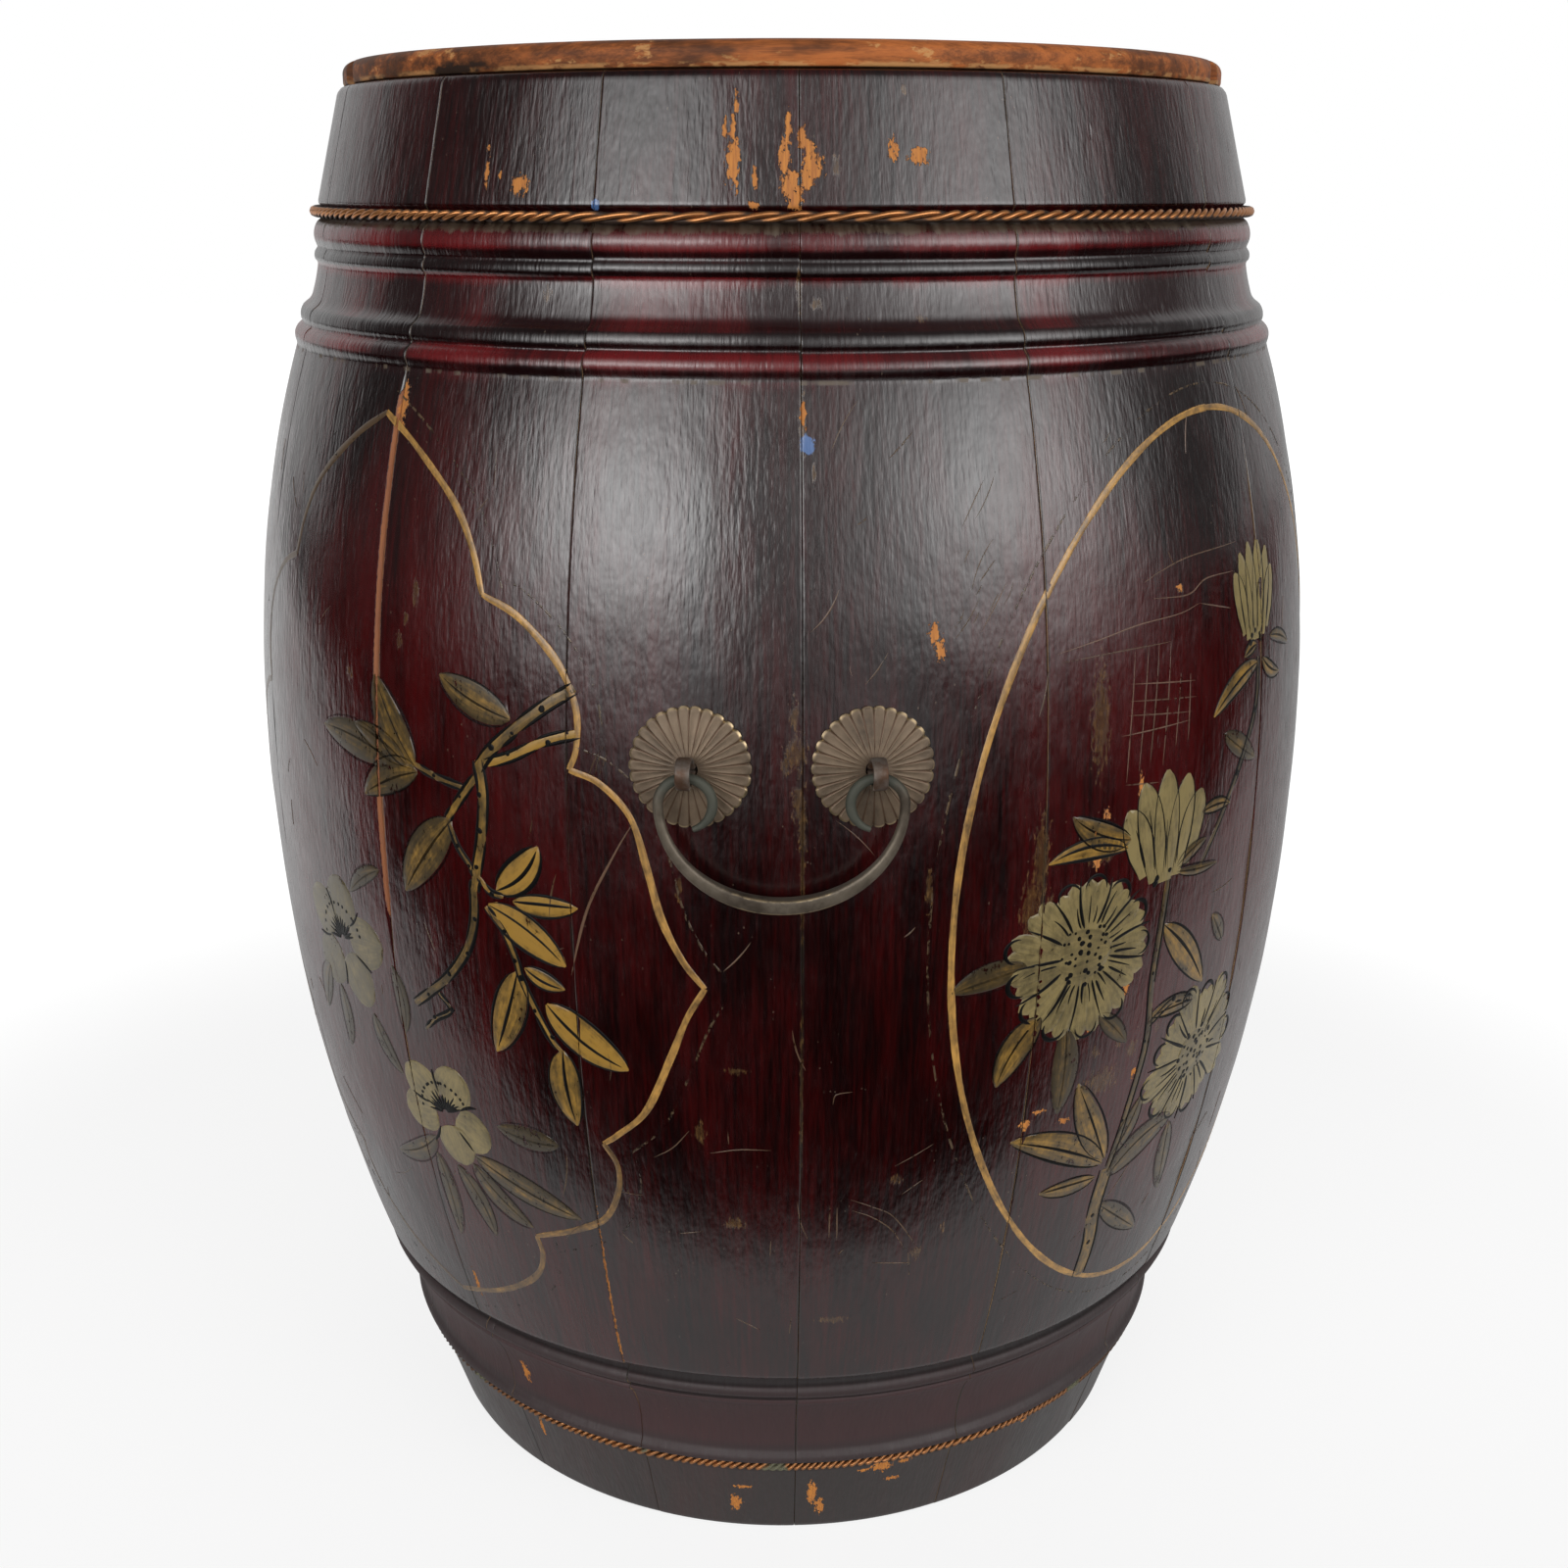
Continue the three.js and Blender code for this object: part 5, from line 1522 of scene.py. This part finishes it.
# %% Outlines of the panels
LOBED_MIDDLE = -42.3
OVAL_MIDDLE = 47.5
OVAL_Z = 289
OVAL_HALF_WIDTH = 32.3
OVAL_HALF_HEIGHT = 176
LINE_WIDTH = 2.8 * MM
GHOST_WIDTH = 0.9 * MM
GHOST_OFFSET = 8.5 * MM
lobes = [
    [(0, 465), (5, 455), (10.5, 439), (13.2, 424), (14.6, 409)],
    [(14.6, 409), (18.4, 403), (22.2, 390), (24.2, 375), (24.3, 361), (23.6, 353)],
    [(23.6, 353), (26.5, 349), (29.2, 338), (30.6, 320), (31.8, 302), (33.6, 287), (35.5, 277)],
    [(35.5, 277), (33.8, 265), (32.2, 249), (29.6, 226), (26.6, 214), (25.0, 209)],
    [(25.0, 209), (26.2, 200), (26.0, 188), (24.2, 174), (20.5, 165), (15.5, 157)],
    [(15.5, 157), (15.8, 148), (14.6, 137), (11.6, 127), (7.0, 117), (0, 107)],
]


def lobed_outline(turn, width, offset, tone):
    """The six lobes of one side and their mirror images, each its own stroke. The left and the lowest ones
    are worn dull."""
    strokes = []
    for sign in (-1, 1):
        for number, lobe in enumerate(lobes):
            line = through([(LOBED_MIDDLE + sign * d, z) for d, z in lobe])
            line = line + square_to(line) * sign * offset
            worn = tone - (0.65 if sign < 0 else 0.3 if number > 3 else 0)
            strokes.append(stroke(line, width, turn, tone=worn, taper=0.12, ends=0.5))
    return strokes


def oval_outline(turn, width, offset, tone):
    """An ellipse in two strokes, which meet at the top and at the bottom."""
    strokes = []
    for first, last in ((90, -90), (270, 90)):
        a = np.radians(np.linspace(first, last, 90))
        line = sheet(OVAL_MIDDLE, OVAL_Z) + np.stack([
            (math.radians(OVAL_HALF_WIDTH) * SHEET_RADIUS + offset) * np.cos(a),
            (OVAL_HALF_HEIGHT * MM + offset) * np.sin(a)], 1)
        strokes.append(stroke(line, width, turn, tone=tone, taper=0.08, ends=0.6))
    return strokes


# %% [markdown]
# ### The two sprays
# Places are written as degrees round from the front and millimetres above the ground, so each number can be
# checked against the belly. In the lobed panel a branch of leaves with two blossoms comes in from the
# right. In the oval, two chrysanthemums and two buds rise from one stem. A leaf has two ends, a width in
# millimetres and a tone. A branch has a row of places, a width and a tone.

# %% Spray of the lobed panel
lobed_leaves = [
    ((-24.5, 368), (-32.2, 380), 13, 0.45), ((-35.4, 345), (-40.7, 375), 15, 0.40),
    ((-36.5, 345), (-44.0, 355), 9, 0.30), ((-38.4, 345), (-49.5, 350), 14, 0.30),
    ((-35.1, 343), (-42.7, 329), 13, 0.40), ((-31.2, 328), (-37.6, 296), 16, 0.40),
    ((-26.5, 305), (-22.0, 324), 11, 0.95), ((-24.8, 302), (-18.3, 303), 8, 0.9),
    ((-27.5, 299), (-19.8, 280), 13, 1.0), ((-24.0, 277), (-20.0, 271), 7, 0.7),
    ((-24.8, 275), (-28.0, 240), 13, 0.75), ((-22.0, 264), (-14.2, 242), 14, 0.95),
    ((-20.7, 246), (-19.9, 215), 13, 0.7), ((-22.3, 204), (-29.3, 206), 10, 0.2),
    ((-33.0, 188), (-20.9, 171), 13, 0.35), ((-33.5, 184), (-27.0, 161), 10, 0.3),
    ((-36.0, 180), (-32.5, 150), 10, 0.25), ((-38.5, 190), (-46.5, 172), 9, 0.25),
    ((-39.0, 182), (-38.6, 142), 9, 0.25), ((-41.5, 300), (-46.8, 286), 7, 0.2),
    ((-41.0, 262), (-40.4, 234), 8, 0.2), ((-45.5, 236), (-42.0, 214), 9, 0.2),
    ((-54.0, 246), (-57.5, 222), 10, 0.2), ((-52.0, 240), (-52.5, 212), 9, 0.2),
]
lobed_branches = [
    ([(-18.2, 381), (-21, 374), (-24, 365), (-26.6, 356), (-28, 349)], 4.4, 0.55),
    ([(-17.7, 366), (-21, 362), (-24.5, 355), (-27.2, 351)], 3.6, 0.95),
    ([(-28, 352), (-27.5, 340), (-27.8, 325), (-28.5, 312), (-29, 303)], 4.2, 0.6),
    ([(-29, 306), (-29.2, 292), (-30.4, 279), (-33, 266), (-36, 256), (-38, 250)], 3.6, 0.45),
    ([(-28.2, 346), (-30, 337), (-31.7, 328)], 3.2, 0.6),
    ([(-31.4, 327), (-30.6, 319), (-29.4, 313), (-28.8, 309)], 2.0, 0.55),
    ([(-29.6, 341), (-32.8, 343), (-35.6, 346)], 2.4, 0.55),
    ([(-28.4, 309), (-27.2, 304), (-25.8, 303)], 2.2, 0.7),
    ([(-27.8, 298), (-26, 290), (-24.9, 280), (-24.4, 272), (-23.2, 261), (-21.8, 250), (-20.7, 245)],
     2.4, 0.65),
    ([(-34.5, 258), (-33.2, 252), (-35.4, 246), (-37, 240)], 1.8, 0.4),
]
lobed_blossoms = [
    ((-36.2, 204), 25, (-22, 65, 141, 192, 284), 0.75),
    ((-49.6, 263), 28, (10, 84, 150, 226, 300), 0.40),
]
print(len(lobed_leaves), "leaves,", len(lobed_branches), "branches,", len(lobed_blossoms), "blossoms")


def spray(gold, ink, turn, leaves, branches):
    """The leaves of one panel, then its branches over them."""
    for sizes in leaves:
        leaf(gold, ink, turn, *sizes)
    for sizes in branches:
        branch(gold, ink, turn, *sizes)


def lobed_spray(turn, gold, cream, ink):
    """A branch of leaves with two blossoms."""
    spray(gold, ink, turn, lobed_leaves, lobed_branches)
    for sizes in lobed_blossoms:
        blossom(cream, ink, turn, *sizes)


# %% Spray of the oval panel
oval_leaves = [
    ((22.8, 278), (15.4, 272), 11, 0.25), ((33.3, 316), (24.4, 316), 8, 0.8),
    ((33.6, 319), (26.8, 332), 10, 0.55), ((24.6, 257), (20.5, 231), 13, 0.5),
    ((27.6, 250), (27.8, 213), 12, 0.25), ((39.0, 281), (47.0, 248), 13, 0.65),
    ((45.6, 242), (38.6, 243), 8, 0.5), ((35.4, 184), (30.0, 224), 13, 0.6),
    ((35.2, 182), (22.8, 205), 13, 0.6), ((34.6, 176), (27.2, 177), 8, 0.5),
    ((36.4, 184), (39.5, 208), 9, 0.35), ((36.6, 174), (46.0, 189), 14, 0.35),
    ((36.4, 160), (45.0, 135), 10, 0.35), ((46.0, 186), (48.0, 150), 10, 0.3),
    ((43.6, 321), (48.6, 320), 6, 0.5), ((40.2, 303), (44.6, 310), 5, 0.4),
    ((40.2, 301), (47.0, 298), 4, 0.4), ((53.6, 370), (44.8, 356), 8, 0.65),
    ((54.6, 371), (59.4, 362), 6, 0.5), ((53.4, 377), (50.6, 374), 5, 0.6),
    ((56.6, 378), (62.4, 371), 5, 0.4), ((46.8, 348), (53.6, 333), 9, 0.3),
    ((31.4, 252), (35.6, 236), 8, 0.25), ((50.0, 262), (47.2, 276), 7, 0.3),
]
oval_stems = [
    ([(36.3, 124), (36.4, 140), (35.8, 158), (36.2, 178)], 8.0, 0.5),
    ([(36.2, 176), (37.4, 200), (38.6, 232), (38.2, 262), (39.0, 300)], 3.4, 0.35),
    ([(38.6, 240), (42, 246), (45.4, 243)], 2.4, 0.4),
    ([(53.8, 372), (53.0, 352), (49.6, 330), (44.0, 300)], 2.6, 0.35),
]
oval_chrysanthemums = [((29.0, 278.5), 32.5, 13, 0.75), ((47.8, 216), 32, 13, 0.75)]
oval_buds = [((38.5, 298), -2, 44, 5, 20, 0.9), ((53.2, 378), 2, 37, 6, 19, 0.95)]
print(len(oval_leaves), "leaves,", len(oval_stems), "stems,", len(oval_chrysanthemums), "chrysanthemums")


def oval_spray(turn, gold, cream, ink):
    """Stems and leaves, with two open chrysanthemums and two buds."""
    spray(gold, ink, turn, oval_leaves, oval_stems)
    for sizes in oval_chrysanthemums:
        chrysanthemum(cream, ink, turn, *sizes)
    for sizes in oval_buds:
        bud(cream, ink, turn, *sizes)


# %% [markdown]
# ### Old gold, cream and ink
# The paint lies under the same gloss as the lacquer, so it shares its shine. It is thin: the gold is streaked
# along each leaf, rubbed through in specks, and broken wherever a seam has moved. Alpha takes the film away
# there, and the lacquer or the open seam below it shows.

# %% Paint finishes
GOLD_BRIGHT = (0.330, 0.180, 0.024, 1)
GOLD_DRAB = (0.036, 0.024, 0.009, 1)
LINE_GOLD = (0.520, 0.275, 0.060, 1)
LINE_BROWN = (0.075, 0.042, 0.018, 1)
CREAM = (0.250, 0.190, 0.072, 1)
CREAM_DRAB = (0.075, 0.057, 0.024, 1)
INK = (0.0018, 0.0015, 0.0015, 1)
GHOST = (0.110, 0.064, 0.026, 1)
SCRATCH = (0.135, 0.072, 0.042, 1)
SEAM_BREAK = 0.45 * MM
SPRUNG_BREAK = 0.5 * MM


def seam_breaks(root):
    """1 on the paint, 0 along each seam that a panel crosses, and wider where the sprung seam gapes."""
    place = place_of(root)
    x, y, z = place.axes()
    theta = x.math("ARCTAN2", y * -1)
    gap = None
    for seam in seams[:-1]:
        turn = (seam + math.pi) % (2 * math.pi) - math.pi
        distance = abs(theta - turn) * BELLY_RADIUS
        if seam == seams[0]:
            distance = distance - SPRUNG_BREAK * z.band(*OPEN_SEAM)
        gap = distance if gap is None else gap.lesser(distance)
    ragged = place.noise(300, detail=3)
    return (gap + 0.9 * MM * (ragged - 0.5)).rise(0.25 * SEAM_BREAK, 0.75 * SEAM_BREAK)


def paint_finish(name, drab, bright, wear, roughness=0.34, specular=LACQUER_SPECULAR, fading=0.0):
    """Paint between a drab and a bright tone. Wear is the level of noise below which the film is rubbed away,
    and fading is how much of a low tone's film is gone."""
    material, root = new_finish(name)
    place = place_of(root)
    streak = wrap_of(root).scaled(800, 70, 1).noise(detail=3, rough=0.6)
    cloud = place.noise(110, detail=4, rough=0.6)
    speck = place.scaled(620, 620, 330).noise(detail=3, rough=0.7)
    tone = field_of(root, "tone")
    kept = (0.55 * speck + 0.45 * cloud + 0.10 * (tone - 0.5)).rise(wear - 0.04, wear + 0.03)
    kept = kept * (1 - fading * tone.rise(0.5, 0.1))
    shown = (tone + 0.9 * (streak - 0.5) + 1.1 * (cloud - 0.5) + 0.7 * (speck - 0.5)).rise(-0.05, 1.05)
    close_finish(root, {
        "Base Color": (shown * shown).colour(drab, bright),
        "Roughness": roughness + 0.25 * (speck - 0.5),
        "Specular IOR Level": specular,
        "Alpha": kept * seam_breaks(root),
        "Normal": (0.03 * streak + 0.02 * speck).bump(MM),
    })
    return material


paints = {
    "outline": paint_finish("outline_gold", LINE_BROWN, LINE_GOLD, 0.36),
    "ghost": paint_finish("worn_outline", GRIME, GHOST, 0.54),
    "gold": paint_finish("leaf_gold", GOLD_DRAB, GOLD_BRIGHT, 0.38),
    "cream": paint_finish("petal_cream", CREAM_DRAB, CREAM, 0.36),
    "ink": paint_finish("black_ink", INK, INK, 0.34, 0.45, 0.2, 0.75),
    "scratch": paint_finish("old_scratches", RUBBED, SCRATCH, 0.42),
}
print(len(paints), "paints")

# %% [markdown]
# Years of use have left fine scratches, mostly upright or slanting, scrapes on the lower belly, and one long
# scratch across a lobe. In the oval, thin scraped lines are all that is left of a trellis and its sloping
# roof.

# %% Scratches
trellis = [
    [(33.6, 387), (32.7, 341)], [(35.3, 388), (34.2, 344)], [(36.7, 388), (35.6, 346)],
    [(38.3, 388), (37.3, 344)], [(39.6, 376), (39.0, 350)], [(41.0, 375), (40.8, 351)],
    [(33.0, 376), (41.7, 372)], [(32.8, 370), (41.9, 366)], [(32.7, 365), (41.2, 361)],
    [(31.9, 358), (41.1, 358)], [(32.6, 340), (36.9, 338)], [(42.7, 399), (48.1, 394)],
    [(24.8, 390), (29.4, 393), (34.3, 396), (39.7, 397), (42.7, 399)],
    [(25.3, 387), (31.5, 388), (38.3, 388)], [(36.1, 404), (41.1, 403), (44.0, 407), (48.9, 407)],
    [(35.1, 410), (37.5, 413), (41.8, 416), (49.8, 417)],
]
scrapes = [
    [(6.7, 189), (8.9, 185), (11.0, 180), (13.0, 169), (14.3, 160)],
    [(6.9, 184), (9.0, 180), (11.1, 173), (12.6, 163)], [(9.3, 158), (13.5, 156)],
    [(4.7, 187), (4.7, 171)], [(5.4, 186), (5.5, 170)], [(4.7, 231), (5.0, 235), (6.5, 236)],
    [(-6.8, 210), (-4.0, 212), (-1.0, 212)], [(-12.3, 206), (-10.4, 211), (-8.7, 219)],
    [(-1.1, 171), (-1.2, 163)], [(1.0, 132), (0.8, 123)], [(-10.3, 172), (-7.8, 174)],
    [(-5.0, 131), (-2.4, 125)],
]
SCRATCHES = 84
SLANTING = 14
SCRATCH_WIDTH = 0.55 * MM
LONG_SCRATCH_WIDTH = 1.1 * MM
long_scratch = [(-12.8, 337), (-14.6, 325), (-17.4, 303), (-19.3, 277)]
print(len(trellis), "trellis lines,", len(scrapes), "scrapes,", SCRATCHES, "scratches")


def scratches(turn):
    """One long line, the trellis, the scrapes, and short hairlines at random places of the front of the
    belly. The first few of these slant side by side on the upper belly."""
    lines = [stroke(through(long_scratch), LONG_SCRATCH_WIDTH, turn, tone=0.9)]
    for places in trellis:
        lines.append(stroke(through(places), SCRATCH_WIDTH, turn, tone=brush.uniform(0.3, 0.9)))
    for places in scrapes:
        lines.append(stroke(through(places), SCRATCH_WIDTH, turn, tone=0.5))
    for number in range(SCRATCHES):
        if number < SLANTING:
            start = sheet(brush.uniform(15, 20), brush.uniform(395, 440))
            angle = math.radians(brush.normal(58, 5))
        else:
            start = sheet(brush.uniform(-70, 70), brush.uniform(120, 460))
            angle = math.radians(brush.normal(80, 32))
        start, end = spoke(start, angle, 0, brush.uniform(3, 22) * MM)
        line = rib(start, end, brush.uniform(-0.08, 0.08))
        width = SCRATCH_WIDTH * brush.uniform(0.5, 1.2)
        lines.append(stroke(line, width, turn, tone=brush.uniform(0, 0.8)))
    return lines


# %% Paint the panels, front and back
for place, turn in FACES.items():
    layers = {name: [] for name in paints}
    layers["outline"] = lobed_outline(turn, LINE_WIDTH, 0, 0.7) + oval_outline(turn, LINE_WIDTH, 0, 0.7)
    layers["ghost"] = oval_outline(turn, GHOST_WIDTH, GHOST_OFFSET, 0.6)
    layers["ghost"] += lobed_outline(turn, GHOST_WIDTH, GHOST_OFFSET, 0.6)
    layers["scratch"] = scratches(turn)
    lobed_spray(turn, layers["gold"], layers["cream"], layers["ink"])
    oval_spray(turn, layers["gold"], layers["cream"], layers["ink"])
    for name, films in layers.items():
        form = gathered(films)
        piece(f"{place}_panels_{name}", form, [paints[name]], "barrel", crease=80)
        print(place, name, len(films), "strokes,", len(form.quads), "faces")

# %% [markdown]
# ## Stage, light and camera
# The barrel stands on a white floor in front of a white background. Lacquer is a mirror of what stands round
# it, so the surroundings are part of the finish: two wide soft windows in front, a pale sheet under and
# behind the barrel, and a dark floor in front of the sheet that brightens towards the windows. Camera rays
# see white, and glossy rays see the pale sheet and the dark floor.

# %% Floor
FLOOR_SIZE = 16.0
SHEET_FRONT = -0.328
SHEET_CURVE = 0.25
SHEET_SIDE = 0.95
SHEET_PALE = 0.60
FLOOR_DARK = 0.003
FLOOR_GLOW = 0.75
SHADOW_SHARE = 0.30
SHADOW_REACH = 0.9
FLOOR_GREY = (0.82, 0.82, 0.82, 1)
FLOOR_WHITE = 1.15
BLACK = (0, 0, 0, 1)
WHITE = (1, 1, 1, 1)


def floor_finish():
    """White with a soft shadow for the camera, the pale sheet and dark floor for reflections, and grey for
    all other rays."""
    material, root = new_finish("white_floor")
    across, y, _ = place_of(root).axes()
    x = abs(across)
    side = SHEET_SIDE - 0.10 * across.rise(0.1, -0.1) + (4.0 - 3.1 * across.rise(-0.1, 0.1)) * y.greater(0)
    front = SHEET_FRONT + SHEET_CURVE * x * x
    pale = (y - front).rise(-0.03, 0.03) * (x - side).rise(0.12, -0.12)
    glow = y.rise(-1.2, -2.6) * x.rise(0.12, 0.5) * x.rise(2.2, 1.2)
    uneven = 1 + 0.55 * across.rise(-0.4, -0.8) - 0.1 * across.rise(0.5, 0.9)
    distance = (x * x + y * y).math("SQRT")
    shaded = 1 - 0.28 * distance.rise(0.34, 0.17)
    level = FLOOR_DARK + SHEET_PALE * uneven * shaded * pale + FLOOR_GLOW * glow
    camera_ray = root.node("ShaderNodeLightPath", {}, {}, out="Is Camera Ray")
    glossy_ray = root.node("ShaderNodeLightPath", {}, {}, out="Is Glossy Ray")
    shadow = SHADOW_SHARE * distance.rise(SHADOW_REACH, 0.5 * SHADOW_REACH)
    matt = root.node("ShaderNodeBsdfDiffuse", {}, {"Color": FLOOR_GREY})
    white = root.node("ShaderNodeEmission", {}, {"Color": WHITE, "Strength": FLOOR_WHITE})
    mirrored = root.node("ShaderNodeEmission", {}, {"Color": level.colour(BLACK, WHITE)})
    floor = root.node("ShaderNodeMixShader", {}, {0: camera_ray * (1 - shadow), 1: matt, 2: white})
    floor = root.node("ShaderNodeMixShader", {}, {0: glossy_ray, 1: floor, 2: mirrored})
    root.node("ShaderNodeOutputMaterial", {}, {"Surface": floor})
    return material


half = FLOOR_SIZE / 2
floor_mesh = bpy.data.meshes.new("floor")
corners = [(-half, -half, 0), (half, -half, 0), (half, half, 0), (-half, half, 0)]
floor_mesh.from_pydata(corners, [], [(0, 1, 2, 3)])
floor_mesh.materials.append(floor_finish())
floor = bpy.data.objects.new("floor", floor_mesh)
bpy.context.scene.collection.objects.link(floor)
floor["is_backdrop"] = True
print("floor", FLOOR_SIZE, "m wide")

# %% World with two windows
ROOM_SIDE = 0.14
ROOM_FRONT = 0.07
ROOM_BACK = 0.48
LEFT_WINDOW = 3.1
RIGHT_WINDOW = 3.0
LEFT_CORE = 3.6
RIGHT_CORE = 2.0


def world_finish():
    """White for the camera. For every other ray a dim room, lighter behind than at the sides, with two soft
    windows in front, each brightest in its middle. They fade in and out with the azimuth and the height."""
    world = bpy.data.worlds.new("studio")
    world.use_nodes = True
    world.node_tree.nodes.clear()
    root = Shade(world.node_tree)
    way = root.node("ShaderNodeTexCoord", {}, {}, out="Generated")
    x, y, z = way.axes()
    azimuth = x.math("ARCTAN2", y * -1) * (180 / math.pi)
    left = azimuth.band(-74, -38, -22, -2) * z.rise(-0.22, 0.21)
    right = 0.3 * azimuth.rise(-1, 9) + 0.7 * azimuth.rise(5, 48)
    right = right * azimuth.rise(96, 52) * z.rise(-0.15, 0.25)
    cores = LEFT_CORE * azimuth.band(-62, -33, -33, -4) + RIGHT_CORE * azimuth.band(20, 48, 48, 76)
    level = ROOM_SIDE * (0.5 + 0.5 * x.rise(-0.5, 0.5)) + ROOM_FRONT * y.rise(-0.2, -0.6)
    level = level + ROOM_BACK * y.rise(0.3, 0.6) * (1.35 - 0.35 * x.rise(-0.3, 0.3))
    level = level + z.rise(0.86, 0.30) * (LEFT_WINDOW * left + RIGHT_WINDOW * right)
    level = level + z.band(0.06, 0.25, 0.25, 0.46) * cores
    camera_ray = root.node("ShaderNodeLightPath", {}, {}, out="Is Camera Ray")
    white = root.node("ShaderNodeBackground", {}, {"Color": WHITE, "Strength": 1.0})
    around = root.node("ShaderNodeBackground", {}, {"Color": WHITE, "Strength": level})
    both = root.node("ShaderNodeMixShader", {}, {0: camera_ray, 1: around, 2: white})
    root.node("ShaderNodeOutputWorld", {}, {"Surface": both})
    return world


bpy.context.scene.world = world_finish()
print("world of", len(bpy.context.scene.world.node_tree.nodes), "nodes")

# %% Camera
CAMERA_DISTANCE = 0.800
CAMERA_HEIGHT = 0.5414
CAMERA_SIDE = 0.0008
CAMERA_PITCH = 18.2
CAMERA_LENS = 42.07
SENSOR_WIDTH = 36
camera_data = bpy.data.cameras.new("camera")
camera_data.lens = CAMERA_LENS
camera_data.sensor_width = SENSOR_WIDTH
camera = bpy.data.objects.new("camera", camera_data)
camera.location = (CAMERA_SIDE, -CAMERA_DISTANCE, CAMERA_HEIGHT)
camera.rotation_euler = (math.radians(90 - CAMERA_PITCH), 0, 0)
bpy.context.scene.collection.objects.link(camera)
bpy.context.scene.camera = camera
bpy.context.scene.view_settings.view_transform = "Standard"
print("camera", CAMERA_DISTANCE, "m in front,", CAMERA_LENS, "mm lens")

# %% [markdown]
# ## Measure
# The box of the CAD model and the box of the dressed barrel are set side by side, and both are printed.

# %% Sizes
dressed_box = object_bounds()
sizes = {"cad": [list(corner) for corner in cad_box], "visual": [list(corner) for corner in dressed_box]}
print("visual box", [[round(x, 4) for x in corner] for corner in dressed_box])
